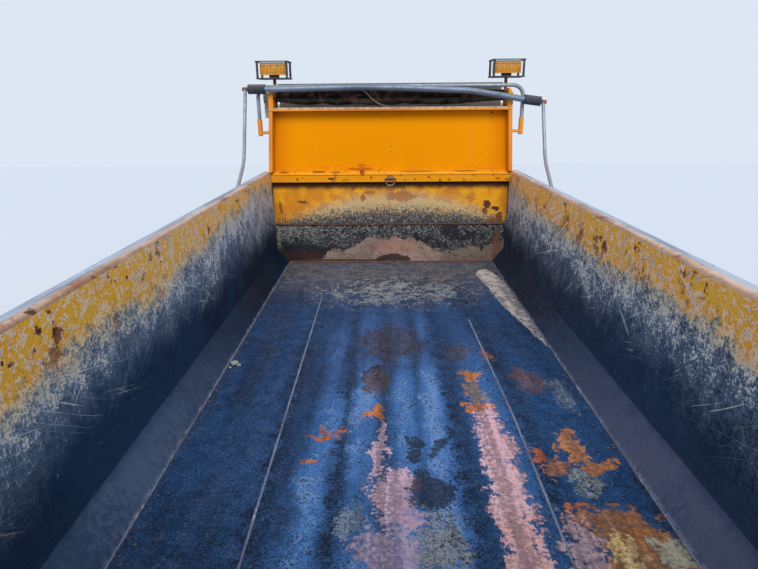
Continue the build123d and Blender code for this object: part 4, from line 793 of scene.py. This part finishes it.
# first and second shade, what differs from metalSetup, and the nodes that wear it
plainFinishes = {
    "chassisPaint": ((34, 33, 33), (58, 52, 46), {"spots": (98, 56, 34), "dust": 0.5},
                     "sill_left sill_right crossmembers rear_beam latch_hangers tip_hinges hoist_lugs"),
    "pinSteel": ((128, 126, 122), (92, 78, 66), {"metal": 0.8, "rough": 0.34, "spots": (104, 60, 36)},
                 "tailgate_hinge_pins tailgate_latch_pins latch_hooks latch_shaft bow_pivots tie_ring "
                 "roller_tube"),
    "rustyIron": ((150, 88, 46), (104, 60, 38), {"rough": 0.68, "spots": (190, 120, 60), "dust": 0.2},
                  "bow_fittings lamp_posts ring_clip"),
    "galvanisedPipe": ((150, 156, 164), (120, 128, 140),
                       {"metal": 0.55, "rough": 0.42, "scale": 22.0, "spots": (140, 96, 62),
                        "spotFrom": 0.68},
                       "tarp_hoop bow_arm_left bow_arm_right"),
    "barTube": ((112, 128, 146), (84, 98, 118),
                {"metal": 0.5, "rough": 0.4, "broad": 3.0, "spots": (60, 60, 66), "spotFrom": 0.66},
                "bow_crossbar"),
    "sleeveRubber": ((46, 56, 74), (30, 36, 48), {"rough": 0.6, "dust": 0.35}, "bow_sleeves"),
    "housingSheet": ((190, 184, 174), (168, 160, 150),
                     {"metal": 0.35, "rough": 0.42, "dust": 0.15, "scale": 5.0, "broad": 1.5,
                      "edge": (0.25, 0.75), "depth": 0.0003},
                     "tarp_housing"),
    "motorPaint": ((176, 172, 160), (120, 112, 98), {"spots": (60, 54, 48), "spotFrom": 0.64},
                   "roller_motor"),
    "guardWire": ((34, 34, 36), (58, 56, 54),
                  {"metal": 0.2, "rough": 0.45, "spots": (120, 112, 100), "spotFrom": 0.66},
                  "lamp_guard_left lamp_guard_right"),
    "lampFoot": ((30, 30, 31), (44, 43, 42), {"dust": 0.4}, "lamp_mounts"),
    "gateSteel": ((74, 76, 84), (110, 108, 106),
                  {"metal": 0.2, "rough": 0.45, "scale": 18.0, "spots": (112, 66, 40), "spotFrom": 0.6,
                   "painted": ("Y", -1)},
                  "tailgate_panel")}
for name, (first, second, changes, wearers) in plainFinishes.items():
    dress(plainMetal(name, first, second, changes), *wearers.split())


# lens colour in stripes along the upright ribs, with a faint painted glow for daylight shining through; the
# lamps are not lit
def lensFinish(name, shade, deep, glow):
    skin = Skin(name)
    ribs = (skin.place.part("X") * 520.0).wave()
    fine = skin.place.noise(60.0, 3.0)
    skin.colour = (ribs * 0.3 + fine * 0.4 + 0.2).rise(0.1, 0.8).over(deep, shade)
    skin.lay(skin.facing.part("Z").rise(0.3, 0.9) * fine.rise(0.35, 0.65) * 0.3, paints["dust"])
    return skin.done(0.18 + fine * 0.12, ribs * 0.5 + fine * 0.2, 0.0012, 0.6,
                     {"Emission Color": skin.colour, "Emission Strength": glow, "IOR": 1.49,
                      "Transmission Weight": 0.15, "Coat Weight": 0.4, "Coat Roughness": 0.08})


amber = lensFinish("amberLens", (228, 166, 14), (176, 104, 4), 0.06)
dress(amber, "lamp_lens_left", "lamp_lens_right")
dress(lensFinish("redLens", (176, 22, 16), (120, 10, 10), 0.1), "tail_lamps")
print("metals, plastics and lenses finished")


def pick(*pieces):
    bpy.ops.object.select_all(action="DESELECT")
    for piece in pieces:
        piece.select_set(True)
    bpy.context.view_layer.objects.active = pieces[0]


# the tarp, wound round its tube from one piece of mesh
tarpSetup = {
    "width": 1.958, "flatLength": 4.9, "inner": 0.0258, "outer": 0.0772, "turns": 15.16, "perTurn": 22,
    "along": 140, "gauge": 0.0011,
    "slimLeft": 0.26, "slimRight": 0.5, "slimTo": 0.0455,  # how far the slim ends reach, and their radius
    "foldReach": 0.35, "deepen": 1.45, "deepest": 0.0225,  # how far along a fold is felt, the deepest dent
    "sag": 0.0022, "wave": 0.0005, "ribbedLeft": 0.35, "ribDepth": 0.0016, "ribPitch": 150,
    "folds": [  # place along, its half width, place round the roll in turns, its half width, depth, lean
        (-0.66, 0.06, 0.16, 0.16, 0.016, 0.5), (-0.5, 0.045, 0.1, 0.12, 0.013, -0.4),
        (-0.36, 0.05, 0.2, 0.1, 0.014, 0.6), (-0.22, 0.08, 0.05, 0.05, 0.01, 0.1),
        (0.02, 0.12, 0.13, 0.045, 0.01, 0.15), (0.2, 0.06, 0.17, 0.12, 0.013, -0.5),
        (0.34, 0.09, 0.07, 0.05, 0.01, -0.1), (0.48, 0.05, 0.15, 0.1, 0.012, 0.4),
        (-0.8, 0.04, 0.12, 0.14, 0.008, 0.3), (0.66, 0.07, 0.11, 0.07, 0.008, -0.2),
        (-0.08, 0.05, 0.9, 0.1, 0.008, 0.2), (0.4, 0.07, 0.85, 0.1, 0.008, -0.3)],
}


def makeTarp(setup):
    rng = random.Random(7)
    half = setup["width"] / 2
    steps = int(setup["turns"] * setup["perTurn"])
    waves = [(rng.uniform(2.0, 9.0), rng.uniform(0, 6.28), rng.uniform(-1.2, 1.2), rng.uniform(0.4, 1.0))
             for _ in range(9)]
    mesh = bmesh.new()
    flatMap = mesh.loops.layers.uv.new("cloth")
    creased = mesh.verts.layers.float.new("crease")
    small = [(rng.uniform(-0.9, 0.9), rng.uniform(0.012, 0.028), rng.uniform(-0.05, 0.3),
              rng.uniform(0.06, 0.16), rng.uniform(0.004, 0.009), rng.uniform(-0.9, 0.9))
             for _ in range(34)]
    rows = []
    for step in range(steps + 1):
        share = step / steps
        angle = share * setup["turns"] * 2 * math.pi
        roundAt = (angle / (2 * math.pi)) % 1.0
        loose = share ** 2
        row = []
        for column in range(setup["along"] + 1):
            x = -half + 2 * half * column / setup["along"]
            slim = max(0.0, 1 - (x + half) / setup["slimLeft"], 1 - (half - x) / setup["slimRight"])
            slim = slim * slim * (3 - 2 * slim)
            reach = setup["outer"] + (setup["slimTo"] - setup["outer"]) * slim
            radius = setup["inner"] + (reach - setup["inner"]) * share
            fold = sum(size * math.sin(pitch * x * 3 + phase + lean * angle)
                       for pitch, phase, lean, size in waves)
            dent = 0.0
            for along, width, turn, spread, depth, lean in setup["folds"] + small:
                if abs(x - along) > setup["foldReach"]:
                    continue
                gap = (roundAt - turn + 0.5) % 1.0 - 0.5
                away = (x - along - lean * gap) / width
                dent += depth * math.exp(-away * away - (gap / spread) ** 2)
            dent = min(dent * setup["deepen"], setup["deepest"])
            left = max(0.0, 1 - (x + half) / setup["ribbedLeft"])
            ribbed = setup["ribDepth"] * left * math.sin(x * setup["ribPitch"] + angle * 0.4)
            sunk = -setup["sag"] + setup["wave"] * fold - dent
            radius += loose * (1 - slim * 0.8) * sunk + loose * ribbed
            place = (x, rollAxis["y"] - radius * math.cos(angle), rollAxis["z"] - radius * math.sin(angle))
            vertex = mesh.verts.new(place)
            vertex[creased] = dent / setup["deepest"]
            row.append(vertex)
        rows.append(row)
    for step in range(steps):
        for column in range(setup["along"]):
            face = mesh.faces.new((rows[step][column], rows[step][column + 1], rows[step + 1][column + 1],
                                   rows[step + 1][column]))
            face.smooth = True
            corners = ((column, step), (column + 1, step), (column + 1, step + 1), (column, step + 1))
            for loop, (u, v) in zip(face.loops, corners):
                loop[flatMap].uv = (u / setup["along"] * setup["width"], v / steps * setup["flatLength"])
    cloth = bpy.data.meshes.new("rolledTarp")
    mesh.to_mesh(cloth)
    mesh.free()
    tarp = addObject("rolledTarp", cloth)
    pick(tarp)
    thick = tarp.modifiers.new("gauge", "SOLIDIFY")
    thick.thickness = setup["gauge"]
    thick.offset = 0.0
    bpy.ops.object.modifier_apply(modifier="gauge")
    return tarp


def tarpFinish():
    skin = Skin("meshTarp")
    flat = Wire(skin.tree.nodes.new("ShaderNodeUVMap").outputs[0])
    weave = flat.node("ShaderNodeTexVoronoi", {"feature": "F1"},
                      {"Vector": flat, "Scale": 420.0, "Randomness": 0.15})
    fine = flat.noise(18.0, 5.0, 0.6)
    dust = skin.place.noise(9.0, 4.0, 0.6).rise(0.45, 0.7)
    up = skin.facing.part("Z").rise(-0.2, 0.9)
    crease = Wire(skin.tree.nodes.new("ShaderNodeAttribute").outputs["Fac"])
    crease.socket.node.attribute_name = "crease"
    skin.colour = (fine.rise(0.4, 0.7) * 0.6 + 0.4).over((8, 6, 8), (30, 23, 25))
    # painted shade in the creases of the folds
    skin.lay((crease + fine * 0.2).rise(0.12, 0.55), (6, 6, 8))
    # brown on the fold ridges: dust, and a painted highlight where they catch the light
    ridge = crease.rise(0.02, 0.1) * crease.rise(0.34, 0.16)
    skin.lay(ridge * fine.rise(0.35, 0.6) * 0.45, (104, 70, 54))
    skin.lay(dust * (0.08 + up * 0.2), (100, 74, 62))
    hem = flat.part("Y").rise(4.86, 4.87)
    stitch = (flat.part("X") * 900.0).wave()
    skin.lay(hem * stitch.rise(0.2, 0.6) * 0.5, (120, 116, 110))
    return skin.done(0.6 + fine * 0.25, weave * 0.4 + fine * 0.8, 0.001, 0.6,
                     {"Sheen Weight": 0.05, "Sheen Roughness": 0.4, "Specular IOR Level": 0.12})


tarp = makeTarp(tarpSetup)
tarp.data.materials.append(tarpFinish())
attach(tarp, "tarp_roller")
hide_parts("tarp_roll")
tie.data.materials.append(plainMetal("tieWebbing", (150, 148, 140), (110, 104, 94),
                                     {"rough": 0.8, "scale": 120.0}))
print("tarp rolled")


# a clean start for a new piece
def startPiece(name):
    if bpy.context.object and bpy.context.object.mode != "OBJECT":
        bpy.ops.object.mode_set(mode="OBJECT")
    bpy.ops.object.select_all(action="DESELECT")
    print("making", name)


def addRod(sides, radius, depth, place, turn=(0, 0, 0)):
    bpy.ops.mesh.primitive_cylinder_add(vertices=sides, radius=radius, depth=depth, location=place,
                                        rotation=turn)
    return bpy.context.object


# a copy with its own mesh
def copyOf(pattern, place, turn=0.0, scale=(1.0, 1.0, 1.0)):
    copy = pattern.copy()
    copy.data = pattern.data.copy()
    bpy.context.collection.objects.link(copy)
    copy.location = place
    copy.rotation_euler = (0, 0, turn)
    copy.scale = scale
    return copy


def joinAll(pieces):
    pick(*pieces)
    bpy.ops.object.join()
    return bpy.context.object


def settle(piece, name, finish, angle):
    pick(piece)
    bpy.ops.object.transform_apply(location=True, rotation=True, scale=True)
    bpy.ops.object.shade_smooth_by_angle(angle=math.radians(angle))
    piece.name = name
    piece.data.materials.clear()
    piece.data.materials.append(finish)
    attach(piece, "box")


# cuts the edges that run along a bead
def cutAlong(bead, way, cuts):
    shape = bmesh.from_edit_mesh(bead.data)
    for edge in shape.edges:
        edge.select = abs((edge.verts[1].co - edge.verts[0].co).normalized().dot(way)) > 0.99
    bmesh.update_edit_mesh(bead.data)
    bpy.ops.mesh.subdivide(number_cuts=cuts)


# one rippled weld bead from start to end, flattened by low
def weldBead(start, end, radius, low, setup):
    first, last = Vector(start), Vector(end)
    run = last - first
    bpy.ops.object.select_all(action="DESELECT")
    bead = addRod(8, radius, run.length, (first + last) / 2, run.to_track_quat("Z", "Y").to_euler())
    bpy.ops.object.transform_apply(location=True, rotation=True, scale=True)
    bpy.ops.object.mode_set(mode="EDIT")
    cuts = max(2, min(setup["mostCuts"], int(run.length / setup["pitch"])))
    cutAlong(bead, run.normalized(), cuts)
    more = int(run.length / setup["pitch"] / (cuts + 1))
    if more > 0:
        cutAlong(bead, run.normalized(), more)
    bpy.ops.mesh.select_all(action="SELECT")
    bpy.ops.transform.resize(value=low, center_override=(first + last) / 2)
    bpy.ops.object.mode_set(mode="OBJECT")
    ripple = bead.modifiers.new("ripple", "DISPLACE")
    ripple.texture = setup["ripple"]
    ripple.texture_coords = "LOCAL"
    ripple.strength = setup["uneven"] * radius
    ripple.mid_level = 0.5
    bpy.ops.object.modifier_apply(modifier="ripple")
    return bead


ripple = bpy.data.textures.new("beadRipple", "CLOUDS")
ripple.noise_scale = 0.014
beadSetup = {
    "pitch": 0.011, "mostCuts": 90, "ripple": ripple, "uneven": 1.1,
    "floor": [  # start, end, radius, flattened
        ((-0.537, 1.1, 0.3135), (-0.514, -2.53, 0.3135), 0.005, (1.0, 1.0, 0.5)),
        ((0.522, 0.6, 0.3135), (0.553, -0.6, 0.3135), 0.005, (1.0, 1.0, 0.5)),
        ((0.553, -0.6, 0.3135), (0.542, -2.53, 0.3135), 0.005, (1.0, 1.0, 0.5)),
        ((-0.944, 2.02, 0.3145), (-0.944, -2.53, 0.3145), 0.005, (1.0, 1.0, 0.8)),
        ((0.944, 2.02, 0.3145), (0.944, -2.53, 0.3145), 0.005, (1.0, 1.0, 0.8))],
    "plates": [
        ((-0.94, 2.03, 0.315), (0.94, 2.03, 0.315), 0.008, (1.0, 1.0, 1.0)),
        ((-1.06, 2.0255, 0.674), (1.06, 2.0255, 0.674), 0.006, (1.0, 0.7, 1.0)),
        ((-1.062, 2.022, 0.5), (-1.062, 2.022, 1.055), 0.006, (1.0, 1.0, 1.0)),
        ((1.062, 2.022, 0.5), (1.062, 2.022, 1.055), 0.006, (1.0, 1.0, 1.0)),
        ((-1.06, 2.0225, 1.0625), (1.06, 2.0225, 1.0625), 0.004, (1.0, 1.0, 1.0))],
    "shield": [
        ((-1.046, 2.089, 1.155), (1.046, 2.089, 1.155), 0.0035, (1.0, 1.0, 1.0)),
        ((-1.007, 2.09, 1.66), (1.007, 2.09, 1.66), 0.0035, (1.0, 1.0, 1.0))],
}


def makeBeads(setup):
    grey = plainMetal("beadSteel", (96, 122, 160), (44, 66, 100),
                      {"scale": 60.0, "spots": (150, 166, 190), "spotFrom": 0.58})
    brown = plainMetal("beadRust", (84, 50, 32), (46, 32, 28),
                       {"rough": 0.7, "scale": 60.0, "spots": (150, 122, 92), "spotFrom": 0.6})
    for zone, finish, slot in (("floor", grey, "load_steel"), ("plates", brown, "load_steel"),
                               ("shield", riserPaint, "body_paint")):
        startPiece(zone + "Beads")
        beads = [weldBead(*row, setup) for row in setup[zone]]
        settle(joinAll(beads), zone + "Beads", finish, 60.0)


makeBeads(beadSetup)

# hexagon heads with a washer under each, modelled once and copied
boltSetup = {
    "across": 0.0085, "head": 0.006, "washer": 0.012, "thick": 0.002, "rounding": 0.0011,
    "places": [  # on the outer face of the roller brackets, facing left or right
        (-1.041, 2.03, 1.722, -1), (-1.041, 2.03, 1.775, -1), (1.041, 2.03, 1.722, 1),
        (1.041, 2.03, 1.775, 1), (1.041, 2.1, 1.722, 1)],
}


def makeBolts(setup):
    finish = plainMetal("boltZinc", (150, 144, 130), (104, 92, 78),
                        {"metal": 0.8, "rough": 0.4, "scale": 80.0, "spots": (130, 80, 48), "spotFrom": 0.57})
    sideways = (0, math.pi / 2, 0)
    startPiece("hexBolt")
    washer = addRod(24, setup["washer"], setup["thick"], (setup["thick"] / 2, 0, 0), sideways)
    startPiece("hexHead")
    head = addRod(6, setup["across"], setup["head"], (setup["thick"] + setup["head"] / 2, 0, 0), sideways)
    bpy.ops.object.mode_set(mode="EDIT")
    bpy.ops.mesh.select_all(action="SELECT")
    bpy.ops.mesh.bevel(offset=setup["rounding"], segments=2, affect="EDGES")
    bpy.ops.object.mode_set(mode="OBJECT")
    bolt = joinAll([washer, head])
    bpy.ops.object.transform_apply(location=True, rotation=True, scale=True)
    bolts = [copyOf(bolt, place, 0.0 if side > 0 else math.pi) for *place, side in setup["places"]]
    bpy.data.objects.remove(bolt)
    settle(joinAll(bolts), "bracketBolts", finish, 30.0)


makeBolts(boltSetup)

# upright ribs moulded into both faces of the amber lenses, one row modelled and copied
ribSetup = {"count": 22, "radius": 0.0042, "flat": 0.45, "height": 0.07, "margin": 0.011, "sunk": 0.0006,
            "rounding": 0.0012}


def makeRibs(setup):
    low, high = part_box("lamp_lens_left")
    span = (high[0] - low[0]) - 2 * setup["margin"]
    startPiece("lensRib")
    rib = addRod(10, setup["radius"], setup["height"], (0, 0, 0))
    bpy.ops.object.mode_set(mode="EDIT")
    bpy.ops.mesh.select_all(action="SELECT")
    bpy.ops.transform.resize(value=(1.0, setup["flat"], 1.0), center_override=(0, 0, 0))
    bpy.ops.mesh.bevel(offset=setup["rounding"], segments=1, affect="EDGES")
    bpy.ops.object.mode_set(mode="OBJECT")
    repeat = rib.modifiers.new("repeat", "ARRAY")
    repeat.count = setup["count"]
    repeat.use_relative_offset = False
    repeat.use_constant_offset = True
    repeat.constant_offset_displace = (span / (setup["count"] - 1), 0.0, 0.0)
    bpy.ops.object.modifier_apply(modifier="repeat")
    for lens, name in (("lamp_lens_left", "lensRibsLeft"), ("lamp_lens_right", "lensRibsRight")):
        low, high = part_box(lens)
        rows = [copyOf(rib, (low[0] + setup["margin"], y, (low[2] + high[2]) / 2))
                for y in (low[1] + setup["sunk"], high[1] - setup["sunk"])]
        settle(joinAll(rows), name, amber, 50.0)
    bpy.data.objects.remove(rib)


makeRibs(ribSetup)

# crumbs of old asphalt and grit that the last load left on the floor
crumbSetup = {
    "seed": 11, "widest": 0.93, "rear": -2.5, "front": 2.012,  # nothing lies beyond these
    "heaps": [  # middle and spread in X and Y, how many, smallest and largest radius
        (-0.915, 1.62, 0.02, 0.2, 26, 0.0025, 0.0075), (-0.915, 0.4, 0.022, 0.5, 34, 0.0025, 0.007),
        (-0.905, -1.2, 0.026, 0.8, 40, 0.0025, 0.006), (0.915, -0.2, 0.02, 0.7, 36, 0.0025, 0.0065),
        (0.1, 1.3, 0.45, 0.22, 60, 0.002, 0.005), (0.0, 1.95, 0.6, 0.035, 40, 0.003, 0.008),
        (0.3, -0.6, 0.45, 0.9, 46, 0.0018, 0.004)],
    "chip": (-0.91, -0.06, 0.017),
    "knobbly": 0.22, "shape": (1.2, 1.0, 0.72), "lift": 0.42}  # shares of each lump's radius


def makeCrumbs(setup):
    rng = random.Random(setup["seed"])
    dark = plainMetal("crumbAsphalt", (34, 34, 38), (74, 70, 68), {"rough": 0.85, "scale": 90.0})
    pale = plainMetal("chipStone", (176, 176, 170), (128, 124, 116), {"rough": 0.8, "scale": 90.0})
    lumps = []
    for midX, midY, wide, long, count, small, large in setup["heaps"]:
        for _ in range(count):
            x = midX + rng.gauss(0, 1) * wide
            y = midY + rng.gauss(0, 1) * long
            x = max(-setup["widest"], min(setup["widest"], x))
            y = max(setup["rear"], min(setup["front"], y))
            lumps.append((x, y, rng.uniform(small, large), rng.uniform(0, 6.28)))
    makeLumps("asphaltCrumbs", lumps, 1, dark, setup, rng)
    x, y, radius = setup["chip"]
    makeLumps("gravelChip", [(x, y, radius, 0.4), (x + 0.03, y - 0.02, radius * 0.5, 1.1),
                             (x - 0.015, y - 0.045, radius * 0.4, 2.0)], 3, pale, setup, rng)


def makeLumps(name, lumps, finer, finish, setup, rng):
    startPiece(name)
    bpy.ops.mesh.primitive_ico_sphere_add(subdivisions=finer, radius=1.0, location=(0, 0, 0))
    pattern = bpy.context.object
    made = []
    for x, y, radius, turn in lumps:
        lump = copyOf(pattern, (x, y, inside["floor"] + radius * setup["lift"]), turn,
                      [radius * share for share in setup["shape"]])
        for vertex in lump.data.vertices:
            vertex.co *= 1 + rng.uniform(-setup["knobbly"], setup["knobbly"])
        made.append(lump)
    bpy.data.objects.remove(pattern)
    settle(joinAll(made), name, finish, 20.0)


makeCrumbs(crumbSetup)
print("beads, bolts, ribs and crumbs added")


# plain floor, its two shades hardly apart
stageSetup = {"half": 14.0, "sunk": 0.001,
              "shades": ((0.595, 0.64, 0.7, 1.0), (0.605, 0.65, 0.71, 1.0))}


def makeStage(setup):
    bpy.ops.object.select_all(action="DESELECT")
    bpy.ops.mesh.primitive_plane_add(size=2 * setup["half"], location=(0, 0, -setup["sunk"]))
    ground = bpy.context.object
    ground.name = "studioFloor"
    skin = Skin("studioFloor")
    mottle = skin.place.noise(0.8, 3.0)
    skin.link({"Base Color": mottle.rise(0.3, 0.7).over(*setup["shades"]), "Roughness": 0.8 + mottle * 0.1})
    ground.data.materials.append(skin.material)


makeStage(stageSetup)

# sky as light, a plain backdrop for the camera and for reflections, and a soft sun
lightSetup = {"sky": (0.86, 0.91, 1.0, 1.0), "skyLevel": 0.8, "backdrop": (0.72, 0.8, 0.9, 1.0),
              "sun": 2.3, "sunSpread": 30.0, "sunTurn": (52.0, -2.0, 3.0)}


def makeLight(setup):
    world = bpy.data.worlds.new("studio")
    bpy.context.scene.world = world
    world.use_nodes = True
    tree = world.node_tree
    tree.nodes.clear()
    path = tree.nodes.new("ShaderNodeLightPath")
    seen = Wire(path.outputs["Is Camera Ray"]).most(Wire(path.outputs["Is Glossy Ray"]))
    seen = seen.most(Wire(path.outputs["Is Transmission Ray"]))
    sky = seen.node("ShaderNodeBackground", {}, {"Color": setup["sky"], "Strength": setup["skyLevel"]})
    drop = seen.node("ShaderNodeBackground", {}, {"Color": setup["backdrop"], "Strength": 1.0})
    blend = seen.node("ShaderNodeMixShader", {}, {0: seen, 1: sky, 2: drop})
    end = tree.nodes.new("ShaderNodeOutputWorld")
    tree.links.new(blend.socket, end.inputs["Surface"])
    lamp = bpy.data.lights.new("softSun", "SUN")
    lamp.energy = setup["sun"]
    lamp.angle = math.radians(setup["sunSpread"])
    sun = addObject("softSun", lamp)
    sun.rotation_euler = [math.radians(turn) for turn in setup["sunTurn"]]
    bpy.context.scene.view_settings.view_transform = "Standard"


makeLight(lightSetup)
print("stage and light set")
